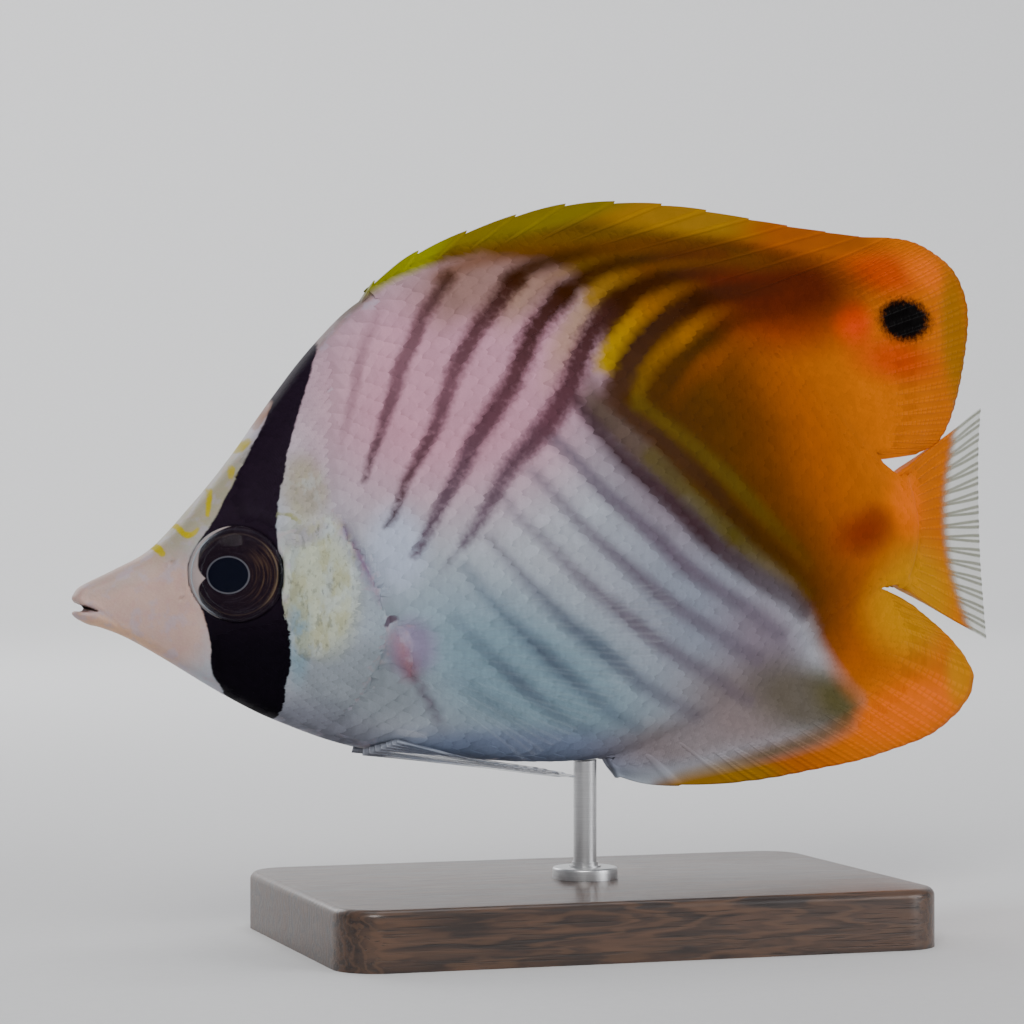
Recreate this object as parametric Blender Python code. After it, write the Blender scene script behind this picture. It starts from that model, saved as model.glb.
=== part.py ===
"""Threadfin butterflyfish, life size, as a still museum model on a plain display stand.

The head points along -X, the fish's left side is -Y and +Z is up. The origin is the centre of the underside of the
stand's base, below the foot of its rod. The body is drawn in its own coordinates, in millimetres: s runs from the
snout along the middle of the body, y to the fish's right and z up from the level of the body's axis. place() bends
them into the world, where the tail turns to the right on an arc.
"""
import math

import bmesh
import bpy
from mathutils import Matrix, Vector

MM = 0.001
GAP = 0.3

# Body
AXIS_HEIGHT = 58.6
HEAD_LENGTH = 34.5
TAIL_BASE_START = 114.0
RIDGE_HALF = 1.25
BEND_START = 60.0
BEND_END = 132.0
BEND_ANGLE = math.radians(32)
BEND_RADIUS = (BEND_END - BEND_START) / BEND_ANGLE
RING_STEPS = 16

# Outline of the flesh and its half width, each as pairs of s and the value there
BACK = ((0, -10.9), (1.1, -9.8), (5.2, -7.8), (10.5, -4.9), (15.9, 0.7), (21.4, 7.4), (27, 15.2), (32.5, 22.2),
        (39, 28.4), (50, 33.6), (62, 35.8), (75, 35.2), (88, 31.2), (100, 25), (110, 18.2), (119, 11.2), (128, 5.9),
        (133, 5.2))
BELLY = ((0, -13.7), (2.1, -14.8), (3.7, -15.2), (7, -16.5), (11.7, -19.1), (20.3, -24.3), (27.2, -27.8), (38, -31.6),
         (50, -33.1), (62, -34.2), (74, -34), (85, -31.2), (96, -26.4), (106, -20.6), (116, -14.4), (124, -11.4),
         (133, -10.5))
HALF_WIDTH = ((0, 1.7), (2, 2.3), (5, 2.8), (10, 4), (15, 5.6), (20, 7), (27, 8.3), (35, 9.4), (45, 10.3),
              (56, 10.6), (70, 10.1), (84, 8.6), (98, 6.4), (110, 4.6), (119, 3.6), (128, 3), (133, 2.5))

# How full a cross-section is above and below its middle: 1 is an ellipse, 2 a lens that runs out into a fin
BACK_FULLNESS = ((0, 1), (30, 1.15), (48, 1.6), (133, 1.6))
BELLY_FULLNESS = ((0, 1), (60, 1.05), (86, 1.6), (133, 1.6))

# Head: mouth line from the lip to the corner and on to the chin, gill opening, eyes and nostrils
MOUTH_CORNER = 3.2
MOUTH_GAPE = 1.0
CHIN = 7.8
UPPER_LIP = ((0, -11.7), (1.2, -12.2), (MOUTH_CORNER, -12.9), (5.2, -14.5), (CHIN, -16.9))
LIP_SWELL = 0.3
LIP_PLACE = 0.9
GILL_BOW = ((0, -1.5), (0.12, 3), (0.24, 5.6), (0.33, 5.2), (0.43, 2.2), (0.54, -0.6), (0.68, -1.8), (0.85, -0.8),
            (1, 0))
GILL_BOW_START = 17.0
GILL_BOW_END = 62.0
GILL_FLAP = 0.45
GILL_FLAP_REACH = 7.0
EYE_PLACE = (20.5, -8.2)
EYE_RADIUS = 6.3
EYE_DEPTH = 2.1
EYE_PROUD = 1.2
NOSTRILS = ((12.6, -6.6), (13.6, -11.4))
NOSTRIL_RADIUS = 0.45

# Fins: half their thickness between the rays, at the root and how far rays and spines stand out of it on each side
SHEET_HALF = 0.26
ROOT_HALF = 0.6
ROOT_FADE = 13.0
RAY_RISE = 0.2
SPINE_RISE = 0.4
SPINE_NOTCH = 1.3
FIN_ROWS = 6

# Fins in the middle plane: s at both ends of the foot, and the outer edge from the first spine to the last ray
DORSAL_FOOT = (39.5, 124.5)
DORSAL_EDGE = ((41.2, 31.3), (46.2, 34.9), (53.7, 38.2), (64.6, 41.7), (73, 43.0), (86, 43.0), (100, 41.6),
               (119, 40.4), (132, 40.6), (140, 39.2), (146.5, 36.6), (150, 31.8), (150, 26), (147, 17.6),
               (142, 10.9), (135.2, 8.6))
DORSAL_RAYS = 37
DORSAL_SPINES = 13
DORSAL_CUT = 0.065
ANAL_FOOT = (74.5, 125)
ANAL_EDGE = ((76.4, -36.9), (81, -38), (87, -38.4), (98, -38.3), (110, -37.4), (124, -36), (138, -33.8), (147, -30.8),
             (151, -27.6), (151.4, -24.6), (146, -19.6), (134.5, -13.9))
ANAL_RAYS = 23
ANAL_SPINES = 3
CAUDAL_FOOT = 129.8
CAUDAL_BOW = 1.6
CAUDAL_EDGE = ((154, 16), (153.4, 10), (153.2, 2), (153.4, -7), (154.2, -14), (155, -19.6))
CAUDAL_RAYS = 17

# Paired fins
PECTORAL_FOOT = ((40.9, -14.6), (44.1, -21.8))
PECTORAL_EDGE = ((72, -8.6), (75.5, -11), (74, -16), (69, -22), (63, -27), (58, -29.6))
PECTORAL_RAYS = 15
PECTORAL_SPREAD = 8.0
PELVIC_FOOT = ((39, -31.6), (43, -30.2))
PELVIC_EDGE = ((66, 2.6, -36.2), (69, 2.8, -36.3), (66.5, 3.4, -35.6), (61, 4, -34.9), (55, 4.6, -33.9))
PELVIC_RAYS = 7
PELVIC_ROOT_HALF = 0.4

# Display stand
BASE_SIZE = (84, 56, 8)
BASE_CORNER = 6.0
BASE_EDGE = 1.0
ROD_PLACE = 71.6
ROD_RADIUS = 1.6
ROD_FLANGE_RADIUS = 4.5
ROD_FLANGE_HEIGHT = 1.6
ROD_SIDES = 20

COLOURS = {
    "skin": ((0.80, 0.76, 0.70), 0.38, 0.0),
    "fin": ((0.86, 0.55, 0.10), 0.42, 0.0),
    "clear_fin": ((0.82, 0.78, 0.72), 0.35, 0.0),
    "eye": ((0.03, 0.025, 0.03), 0.08, 0.0),
    "base": ((0.10, 0.07, 0.05), 0.45, 0.0),
    "rod": ((0.62, 0.62, 0.63), 0.30, 1.0),
}


def along(table, at):
    """Value at a place on the smooth curve through a table's pairs of place and value."""
    places = [pair[0] for pair in table]
    values = [pair[1] for pair in table]
    at = min(max(at, places[0]), places[-1])
    last = len(table) - 1
    k = next(i for i in range(last) if at <= places[i + 1])

    def slope(i):
        low = max(i - 1, 0)
        high = min(i + 1, last)
        return (values[high] - values[low]) / (places[high] - places[low])

    width = places[k + 1] - places[k]
    t = (at - places[k]) / width
    rise = values[k + 1] - values[k]
    start = slope(k) * width
    end = slope(k + 1) * width
    return values[k] + t * (start + t * (3 * rise - 2 * start - end + t * (start + end - 2 * rise)))


def on_edge(points, share):
    """Point at a share of the length of a smooth outline through the points."""
    lengths = [0.0]
    for a, b in zip(points, points[1:]):
        lengths.append(lengths[-1] + math.dist(a, b))
    at = share * lengths[-1]
    return tuple(along(tuple(zip(lengths, values)), at) for values in zip(*points))


def ease(t):
    """Smooth step from 0 to 1."""
    t = min(max(t, 0.0), 1.0)
    return t * t * (3 - 2 * t)


def spine(s):
    """The middle line from above: how far ahead and aside it has come at s, and which way it points there."""
    angle = min(max(s - BEND_START, 0), BEND_END - BEND_START) / BEND_RADIUS
    beyond = max(s - BEND_END, 0)
    ahead = min(s, BEND_START) + BEND_RADIUS * math.sin(angle) + beyond * math.cos(angle)
    aside = BEND_RADIUS * (1 - math.cos(angle)) + beyond * math.sin(angle)
    return ahead, aside, angle


def place(s, y, z):
    """World position, in metres, of a point in the body's coordinates, with the rod at the origin."""
    ahead, aside, angle = spine(s)
    rod_ahead, rod_aside, _ = spine(ROD_PLACE)
    return Vector((
        (ahead - rod_ahead - y * math.sin(angle)) * MM,
        (aside - rod_aside + y * math.cos(angle)) * MM,
        (z + AXIS_HEIGHT) * MM,
    ))


def back(s):
    return along(BACK, s)


def belly(s):
    return along(BELLY, s)


def mouth_top(s):
    """Underside of the head: the upper lip and the cut to the chin, then the throat."""
    return along(UPPER_LIP, s) if s < CHIN else belly(s)


def jaw_top(s):
    """Top of the lower jaw, which the open mouth drops in front of its corner."""
    return mouth_top(s) - GAP - MOUTH_GAPE * max(0.0, 1 - s / MOUTH_CORNER)


def half_width(s, z):
    """Half the thickness of the flesh at a height, from the flat ridge on the back to the keel of the belly."""
    middle = (back(s) + belly(s)) / 2
    reach = (back(s) - belly(s)) / 2
    t = min(max((z - middle) / reach, -1.0), 1.0)
    full = along(HALF_WIDTH, s)
    lip = LIP_SWELL * max(0.0, 1 - ((s - LIP_PLACE) / LIP_PLACE) ** 2)
    edge = min(RIDGE_HALF, 0.6 * full)
    power = along(BACK_FULLNESS if t > 0 else BELLY_FULLNESS, s)
    return edge + (full + lip - edge) * (1 - t * t) ** (power / 2)


def gill_bow(share):
    """How far the gill opening lies behind its top, at a share of the height from belly to back."""
    return along(GILL_BOW, share)


def head_width(s, z):
    """Width of the head, whose gill cover stands a little proud of the body behind it."""
    share = (z - belly(s)) / (back(s) - belly(s))
    behind = (s - HEAD_LENGTH - gill_bow(share)) / GILL_FLAP_REACH
    cover = ease(1 + behind) * ease(4 * share) * ease(4 * (0.62 - share))
    return half_width(s, z) + GILL_FLAP * cover


def material(name):
    found = bpy.data.materials.get(name)
    if found:
        return found
    made = bpy.data.materials.new(name)
    made.use_nodes = True
    shader = made.node_tree.nodes["Principled BSDF"]
    colour, roughness, metallic = COLOURS[name]
    shader.inputs["Base Color"].default_value = (*colour, 1)
    shader.inputs["Roughness"].default_value = roughness
    shader.inputs["Metallic"].default_value = metallic
    made.diffuse_color = (*colour, 1)
    return made


def add_piece(name, points, faces, finish, root, parent):
    """Closed mesh from world points, as an object whose origin is at its root."""
    mesh = bpy.data.meshes.new(name)
    mesh.from_pydata([p - root for p in points], [], faces)
    shaped = bmesh.new()
    shaped.from_mesh(mesh)
    bmesh.ops.recalc_face_normals(shaped, faces=shaped.faces)
    shaped.to_mesh(mesh)
    shaped.free()
    mesh.shade_smooth()
    mesh.set_sharp_from_angle(angle=math.radians(50))
    mesh.materials.append(material(finish))
    piece = bpy.data.objects.new(name, mesh)
    bpy.context.collection.objects.link(piece)
    piece.parent = parent
    piece.location = root
    return piece


def caudal_bow(share):
    """How far the end of the tail's flesh is bowed out at a share of its height."""
    return CAUDAL_BOW * 4 * share * (1 - share)


def loft(name, stations, low, high, width, bow, parent):
    """Flesh from rings of points; each station is s and how much of the end's bow its ring takes."""
    points = []
    for s, lean in stations:
        for side in (-1, 1):
            for i in range(RING_STEPS + 1):
                share = (1 - math.cos(math.pi * i / RING_STEPS)) / 2
                here = s + lean * bow(share)
                z = low(here) + share * (high(here) - low(here))
                points.append(place(here, side * width(here, z), z))
    across = RING_STEPS + 1
    ring = 2 * across
    loop = list(range(across)) + list(range(ring - 1, across - 1, -1))
    faces = []
    for k in range(len(stations) - 1):
        start = k * ring
        for a, b in zip(loop, loop[1:] + loop[:1]):
            faces.append((start + a, start + b, start + ring + b, start + ring + a))
    for start in (0, (len(stations) - 1) * ring):
        for i in range(RING_STEPS):
            faces.append((start + i, start + i + 1, start + across + i + 1, start + across + i))
    middle = stations[len(stations) // 2][0]
    return add_piece(name, points, faces, "skin", place(middle, 0, (low(middle) + high(middle)) / 2), parent)


def sheet(name, columns, centre, half, finish, parent):
    """Thin fin with a column of points along each ray and each valley between rays, from the foot to the edge.

    Both faces are split into the same triangles. centre and half take a column's ray number and a share of the way
    from the foot to the edge.
    """
    rows = FIN_ROWS
    grid = [[place(*centre(ray, j / (rows - 1))) for j in range(rows)] for ray in columns]
    points = []
    for side in (-1, 1):
        for i, ray in enumerate(columns):
            for j in range(rows):
                across = grid[min(i + 1, len(grid) - 1)][j] - grid[max(i - 1, 0)][j]
                outward = grid[i][min(j + 1, rows - 1)] - grid[i][max(j - 1, 0)]
                normal = across.cross(outward).normalized()
                points.append(grid[i][j] + normal * side * half(ray, j / (rows - 1)) * MM)
    count = len(columns)
    other = count * rows
    faces = []
    for i in range(count - 1):
        for j in range(rows - 1):
            a = i * rows + j
            b = a + rows
            for corners in ((a, b, b + 1), (a, b + 1, a + 1)):
                faces.append(corners)
                faces.append(tuple(other + c for c in reversed(corners)))
    rim = [i * rows for i in range(count)]
    rim += [(count - 1) * rows + j for j in range(1, rows)]
    rim += [i * rows + rows - 1 for i in range(count - 2, -1, -1)]
    rim += [j for j in range(rows - 2, 0, -1)]
    for a, b in zip(rim, rim[1:] + rim[:1]):
        faces.append((b, a, other + a))
        faces.append((b, other + a, other + b))
    return add_piece(name, points, faces, finish, grid[0][0], parent)


def rays_and_valleys(first, last):
    """Ray numbers from first to last and the valleys half way between them."""
    return [first + i / 2 for i in range(2 * (last - first) + 1)]


def on_ray(ray):
    """1 on a ray, 0 in the valley between two."""
    return 1 - 2 * abs(ray - round(ray))


def lerp(a, b, t):
    return a + (b - a) * t


def snout_stops():
    """Places of the rings from the lips to the chin, close together in front."""
    return [CHIN * (i / 7) ** 1.3 for i in range(8)]


def head_stations():
    """Rings of the head, the last ones bowed like the gill opening."""
    rest = [lerp(CHIN, HEAD_LENGTH - GAP / 2, i / 12) for i in range(1, 13)]
    span = HEAD_LENGTH - GAP / 2 - GILL_BOW_START
    return [(s, ease((s - GILL_BOW_START) / span)) for s in snout_stops() + rest]


def torso_stations():
    first = HEAD_LENGTH + GAP / 2
    stops = [lerp(first, TAIL_BASE_START - GAP / 2, i / 18) for i in range(19)]
    return [(s, ease((GILL_BOW_END - s) / (GILL_BOW_END - first))) for s in stops]


def cut_away(piece, cutter):
    """Cuts a closed shape out of a piece and removes the cutter."""
    cut = piece.modifiers.new("cut", "BOOLEAN")
    cut.operation = "DIFFERENCE"
    cut.solver = "EXACT"
    cut.object = cutter
    bpy.context.view_layer.update()
    done = bpy.data.meshes.new_from_object(piece.evaluated_get(bpy.context.evaluated_depsgraph_get()))
    done.name = piece.name
    piece.modifiers.clear()
    piece.data = done
    bpy.data.objects.remove(cutter)


def ball(name, centre, radii, segments, finish, parent, turn=0.0):
    """Ellipsoid with a radius each along X, Y and Z, turned about Z."""
    mesh = bpy.data.meshes.new(name)
    shaped = bmesh.new()
    bmesh.ops.create_uvsphere(shaped, u_segments=segments, v_segments=segments // 2, radius=MM)
    bmesh.ops.rotate(shaped, verts=shaped.verts, matrix=Matrix.Rotation(math.pi / 2, 3, "X"))
    bmesh.ops.scale(shaped, verts=shaped.verts, vec=radii)
    bmesh.ops.rotate(shaped, verts=shaped.verts, matrix=Matrix.Rotation(turn, 3, "Z"))
    shaped.to_mesh(mesh)
    shaped.free()
    mesh.shade_smooth()
    mesh.materials.append(material(finish))
    made = bpy.data.objects.new(name, mesh)
    bpy.context.collection.objects.link(made)
    made.parent = parent
    made.location = centre
    return made


def eye_tilt():
    """How far the flank beside the eye, and the eye with it, faces forward."""
    s, z = EYE_PLACE
    return math.atan2(half_width(s + EYE_RADIUS, z) - half_width(s - EYE_RADIUS, z), 2 * EYE_RADIUS)


def eye_centre(side):
    s, z = EYE_PLACE
    out = EYE_PROUD - EYE_DEPTH
    return place(s - out * math.sin(eye_tilt()), side * (half_width(s, z) + out * math.cos(eye_tilt())), z)


def add_head(parent):
    head = loft("head", head_stations(), mouth_top, back, head_width, gill_bow, parent)
    loft("lower_jaw", [(s, 0) for s in snout_stops()[:-1]], belly, jaw_top, half_width, gill_bow, parent)
    for side, label in ((-1, "left"), (1, "right")):
        centre = eye_centre(side)
        turn = side * eye_tilt()
        ball("eye_" + label, centre, (EYE_RADIUS, EYE_DEPTH, EYE_RADIUS), 28, "eye", parent, turn)
        room = (EYE_RADIUS + GAP, EYE_DEPTH + GAP, EYE_RADIUS + GAP)
        cut_away(head, ball("socket", centre, room, 28, "skin", None, turn))
        for s, z in NOSTRILS:
            pit = (NOSTRIL_RADIUS, NOSTRIL_RADIUS, NOSTRIL_RADIUS)
            cut_away(head, ball("nostril", place(s, side * half_width(s, z), z), pit, 8, "skin", None))


def add_body(parent):
    loft("torso", torso_stations(), belly, back, half_width, gill_bow, parent)
    start = TAIL_BASE_START + GAP / 2
    stops = [(lerp(start, CAUDAL_FOOT, i / 6), ease(i / 6)) for i in range(7)]
    loft("tail_base", stops, belly, back, half_width, caudal_bow, parent)


def middle_fin(name, columns, foot, edge, rays, spines, parent):
    """Fin in the middle plane, ruled by its rays from the foot to the outer edge and thinning outwards."""

    def centre(ray, t):
        share = ray / (rays - 1)
        a = foot(share)
        b = on_edge(edge, share)
        if ray < spines:
            reach = math.dist(a, b)
            t *= 1 - SPINE_NOTCH * (1 - on_ray(ray)) / reach
        return lerp(a[0], b[0], t), 0, lerp(a[1], b[1], t)

    def half(ray, t):
        out = math.dist(centre(ray, t), centre(ray, 0))
        swell = (RIDGE_HALF - SHEET_HALF) * max(0.0, 1 - out / ROOT_FADE) ** 2
        rise = (SPINE_RISE if ray < spines else RAY_RISE) * on_ray(ray) * ease(3 * t) * (1 - 0.6 * t)
        return SHEET_HALF + swell + rise

    return sheet(name, columns, centre, half, "fin", parent)


def add_middle_fins(parent):
    def dorsal_foot(share):
        s = lerp(*DORSAL_FOOT, share)
        return s, back(s) + GAP

    def anal_foot(share):
        s = lerp(*ANAL_FOOT, share)
        return s, belly(s) - GAP

    def caudal_foot(share):
        s = CAUDAL_FOOT + GAP + caudal_bow(share)
        return s, lerp(back(s), belly(s), share)

    cut = DORSAL_SPINES - 0.5
    spiny = rays_and_valleys(0, DORSAL_SPINES - 1) + [cut - DORSAL_CUT]
    soft = [cut + DORSAL_CUT] + rays_and_valleys(DORSAL_SPINES, DORSAL_RAYS - 1)
    for name, columns in (("dorsal_fin_spiny", spiny), ("dorsal_fin_soft", soft)):
        middle_fin(name, columns, dorsal_foot, DORSAL_EDGE, DORSAL_RAYS, DORSAL_SPINES - 1, parent)
    anal = rays_and_valleys(0, ANAL_RAYS - 1)
    middle_fin("anal_fin", anal, anal_foot, ANAL_EDGE, ANAL_RAYS, ANAL_SPINES, parent)
    caudal = rays_and_valleys(0, CAUDAL_RAYS - 1)
    middle_fin("caudal_fin", caudal, caudal_foot, CAUDAL_EDGE, CAUDAL_RAYS, 0, parent)


def beside(s, z, off):
    """Point off the flank on the fish's right, square to its surface."""
    step = 0.4
    along_body = (half_width(s + step, z) - half_width(s - step, z)) / (2 * step)
    up_body = (half_width(s, z + step) - half_width(s, z - step)) / (2 * step)
    square = Vector((-along_body, 1, -up_body)).normalized()
    return Vector((s, half_width(s, z), z)) + square * off


def paired_fin(name, side, rays, path, root_half, parent):
    """Fin beside the body; path gives a point of the right fin at a share of its edge and of the way out."""

    def centre(ray, t):
        s, y, z = path(ray / (rays - 1), t)
        return s, side * y, z

    def half(ray, t):
        rise = RAY_RISE * on_ray(ray) * ease(3 * t) * (1 - 0.6 * t)
        return SHEET_HALF + (root_half - SHEET_HALF) * (1 - t) ** 2 + rise

    return sheet(name, rays_and_valleys(0, rays - 1), centre, half, "clear_fin", parent)


def foot_of(foot, share):
    return lerp(foot[0][0], foot[1][0], share), lerp(foot[0][1], foot[1][1], share)


def pectoral_path(share, t):
    s, z = foot_of(PECTORAL_FOOT, share)
    tip_s, tip_z = on_edge(PECTORAL_EDGE, share)
    return beside(lerp(s, tip_s, t), lerp(z, tip_z, t), GAP + ROOT_HALF + PECTORAL_SPREAD * t ** 1.3)


def pelvic_path(share, t):
    root = beside(*foot_of(PELVIC_FOOT, share), GAP + PELVIC_ROOT_HALF)
    return root.lerp(Vector(on_edge(PELVIC_EDGE, share)), t)


def add_paired_fins(parent):
    for side, label in ((-1, "left"), (1, "right")):
        paired_fin("pectoral_fin_" + label, side, PECTORAL_RAYS, pectoral_path, ROOT_HALF, parent)
        paired_fin("pelvic_fin_" + label, side, PELVIC_RAYS, pelvic_path, PELVIC_ROOT_HALF, parent)


def add_stand(parent):
    """Flat base with rounded corners and one turned rod, whose top follows the belly."""
    mesh = bpy.data.meshes.new("stand_base")
    shaped = bmesh.new()
    bmesh.ops.create_cube(shaped, size=MM)
    bmesh.ops.scale(shaped, verts=shaped.verts, vec=BASE_SIZE)
    upright = [e for e in shaped.edges if abs(e.verts[0].co.z - e.verts[1].co.z) > MM]
    bmesh.ops.bevel(shaped, geom=upright, offset=BASE_CORNER * MM, segments=6, profile=0.5, affect="EDGES")
    top = [e for e in shaped.edges if all(v.co.z > 0 for v in e.verts)]
    bmesh.ops.bevel(shaped, geom=top, offset=BASE_EDGE * MM, segments=2, profile=0.5, affect="EDGES")
    shaped.to_mesh(mesh)
    shaped.free()
    mesh.shade_smooth()
    mesh.set_sharp_from_angle(angle=math.radians(35))
    mesh.materials.append(material("base"))
    base = bpy.data.objects.new("stand_base", mesh)
    bpy.context.collection.objects.link(base)
    base.parent = parent
    base.location = (0, 0, BASE_SIZE[2] / 2 * MM)

    foot = BASE_SIZE[2] + GAP
    rings = ((ROD_FLANGE_RADIUS, foot), (ROD_FLANGE_RADIUS, foot + 0.6 * ROD_FLANGE_HEIGHT),
             (ROD_FLANGE_RADIUS - 0.8, foot + ROD_FLANGE_HEIGHT), (ROD_RADIUS, foot + ROD_FLANGE_HEIGHT),
             (ROD_RADIUS, None))
    points = []
    for radius, height in rings:
        for i in range(ROD_SIDES):
            turn = 2 * math.pi * i / ROD_SIDES
            x = radius * math.cos(turn)
            top_here = AXIS_HEIGHT + belly(ROD_PLACE + x) - GAP
            points.append(Vector((x, radius * math.sin(turn), top_here if height is None else height)) * MM)
    faces = [tuple(range(ROD_SIDES))[::-1], tuple(range(len(points) - ROD_SIDES, len(points)))]
    for k in range(len(rings) - 1):
        for i in range(ROD_SIDES):
            a = k * ROD_SIDES + i
            b = k * ROD_SIDES + (i + 1) % ROD_SIDES
            faces.append((a, b, b + ROD_SIDES, a + ROD_SIDES))
    add_piece("stand_rod", points, faces, "rod", Vector((0, 0, foot * MM)), parent)


def main():
    for old in list(bpy.data.objects):
        bpy.data.objects.remove(old)
    fish = bpy.data.objects.new("fish", None)
    stand = bpy.data.objects.new("stand", None)
    for empty in (fish, stand):
        bpy.context.collection.objects.link(empty)
    add_head(fish)
    add_body(fish)
    add_middle_fins(fish)
    add_paired_fins(fish)
    add_stand(stand)


main()
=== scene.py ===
"""Threadfin butterflyfish on its display stand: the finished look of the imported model.

The head points along -X, the fish's left side is -Y and +Z is up. The body is described in its own coordinates, in
millimetres: s runs from the snout along the middle of the body, y to the fish's right and z up from the body's axis.
place() bends them into the world and unplace() takes world points back.
"""
import math

import bmesh
import bpy
import numpy as np
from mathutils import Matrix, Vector


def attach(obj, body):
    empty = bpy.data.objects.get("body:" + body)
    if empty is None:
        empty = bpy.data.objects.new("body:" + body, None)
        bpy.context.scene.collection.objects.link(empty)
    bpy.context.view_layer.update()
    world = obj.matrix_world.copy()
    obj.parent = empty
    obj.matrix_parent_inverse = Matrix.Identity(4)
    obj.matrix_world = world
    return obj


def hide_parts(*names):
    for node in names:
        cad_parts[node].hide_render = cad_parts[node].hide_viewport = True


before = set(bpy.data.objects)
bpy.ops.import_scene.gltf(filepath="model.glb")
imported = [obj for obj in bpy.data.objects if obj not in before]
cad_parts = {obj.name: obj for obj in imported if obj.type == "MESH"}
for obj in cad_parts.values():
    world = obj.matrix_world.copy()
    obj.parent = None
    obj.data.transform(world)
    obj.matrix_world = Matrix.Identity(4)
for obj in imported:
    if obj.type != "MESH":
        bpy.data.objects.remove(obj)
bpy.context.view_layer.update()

bl_info = {
    "name": "Butterflyfish display model",
    "version": (1, 0, 0),
    "blender": (4, 5, 0),
    "location": "3D View > Sidebar > Butterflyfish",
    "description": "Skin, scales, fins, eyes and stand of a life-size threadfin butterflyfish",
    "category": "Object",
}

MM = 0.001
GAP = 0.3
SIDES = ((-1, "left"), (1, "right"))

# The solids' own sizes, in millimetres of body coordinates
AXIS_HEIGHT = 58.6
HEAD_LENGTH = 34.5
RIDGE_HALF = 1.25
BEND_START = 60.0
BEND_END = 132.0
BEND_ANGLE = math.radians(32)
BEND_RADIUS = (BEND_END - BEND_START) / BEND_ANGLE
ROD_PLACE = 71.6
BACK = ((0, -10.9), (1.1, -9.8), (5.2, -7.8), (10.5, -4.9), (15.9, 0.7), (21.4, 7.4), (27, 15.2), (32.5, 22.2),
        (39, 28.4), (50, 33.6), (62, 35.8), (75, 35.2), (88, 31.2), (100, 25), (110, 18.2), (119, 11.2), (128, 5.9),
        (133, 5.2))
BELLY = ((0, -13.7), (2.1, -14.8), (3.7, -15.2), (7, -16.5), (11.7, -19.1), (20.3, -24.3), (27.2, -27.8), (38, -31.6),
         (50, -33.1), (62, -34.2), (74, -34), (85, -31.2), (96, -26.4), (106, -20.6), (116, -14.4), (124, -11.4),
         (133, -10.5))
HALF_WIDTH = ((0, 1.7), (2, 2.3), (5, 2.8), (10, 4), (15, 5.6), (20, 7), (27, 8.3), (35, 9.4), (45, 10.3),
              (56, 10.6), (70, 10.1), (84, 8.6), (98, 6.4), (110, 4.6), (119, 3.6), (128, 3), (133, 2.5))
BACK_FULLNESS = ((0, 1), (30, 1.15), (48, 1.6), (133, 1.6))
BELLY_FULLNESS = ((0, 1), (60, 1.05), (86, 1.6), (133, 1.6))
MOUTH_CORNER = 3.2
MOUTH_GAPE = 1.0
CHIN = 7.8
UPPER_LIP = ((0, -11.7), (1.2, -12.2), (MOUTH_CORNER, -12.9), (5.2, -14.5), (CHIN, -16.9))
LIP_SWELL = 0.3
LIP_PLACE = 0.9
GILL_BOW = ((0, -1.5), (0.12, 3), (0.24, 5.6), (0.33, 5.2), (0.43, 2.2), (0.54, -0.6), (0.68, -1.8), (0.85, -0.8),
            (1, 0))
GILL_FLAP = 0.45
GILL_FLAP_REACH = 7.0
EYE_PLACE = (20.5, -8.2)
EYE_RADIUS = 6.3
EYE_DEPTH = 2.1
EYE_PROUD = 1.2
CORNEA_RADIUS = 6.55
PUPIL = (-1.12, -0.06)
PUPIL_RADII = (2.74, 2.4)
NOSTRILS = ((12.6, -6.6), (13.6, -11.4))
DORSAL_FOOT = (39.5, 124.5)
DORSAL_EDGE = ((41.2, 31.3), (46.2, 34.9), (53.7, 38.2), (64.6, 41.7), (73, 43.0), (86, 43.0), (100, 41.6),
               (119, 40.4), (132, 40.6), (140, 39.2), (146.5, 36.6), (150, 31.8), (150, 26), (147, 17.6),
               (142, 10.9), (135.2, 8.6))
DORSAL_RAYS = 37
DORSAL_SPINES = 13
ANAL_FOOT = (74.5, 125)
ANAL_EDGE = ((76.4, -36.9), (81, -38), (87, -38.4), (98, -38.3), (110, -37.4), (124, -36), (138, -33.8), (147, -30.8),
             (151, -27.6), (151.4, -24.6), (146, -19.6), (134.5, -13.9))
ANAL_RAYS = 23
ANAL_SPINES = 3
CAUDAL_FOOT = 129.8
CAUDAL_BOW = 1.6
CAUDAL_EDGE = ((154, 16), (153.4, 10), (153.2, 2), (153.4, -7), (154.2, -14), (155, -19.6))
CAUDAL_RAYS = 17
PECTORAL_FOOT = ((40.9, -14.6), (44.1, -21.8))
PECTORAL_EDGE = ((72, -8.6), (75.5, -11), (74, -16), (69, -22), (63, -27), (58, -29.6))
PECTORAL_RAYS = 15
PECTORAL_SPREAD = 8.0
PECTORAL_ROOT_HALF = 0.6
PELVIC_FOOT = ((39, -31.6), (43, -30.2))
PELVIC_EDGE = ((66, 2.6, -36.2), (69, 2.8, -36.3), (66.5, 3.4, -35.6), (61, 4, -34.9), (55, 4.6, -33.9))
PELVIC_RAYS = 7
PELVIC_ROOT_HALF = 0.4
SPINE_NOTCH = 1.3
DORSAL_SPINY = 0.62
ANAL_SPINY = 0.2
FIN_WAVE = 0.22
BASE_SIZE = (84, 56, 8)
BASE_CORNER = 6.0
ROD_RADIUS = 1.6
ROD_FLANGE_RADIUS = 4.5
ROD_FLANGE_HEIGHT = 1.6

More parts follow.
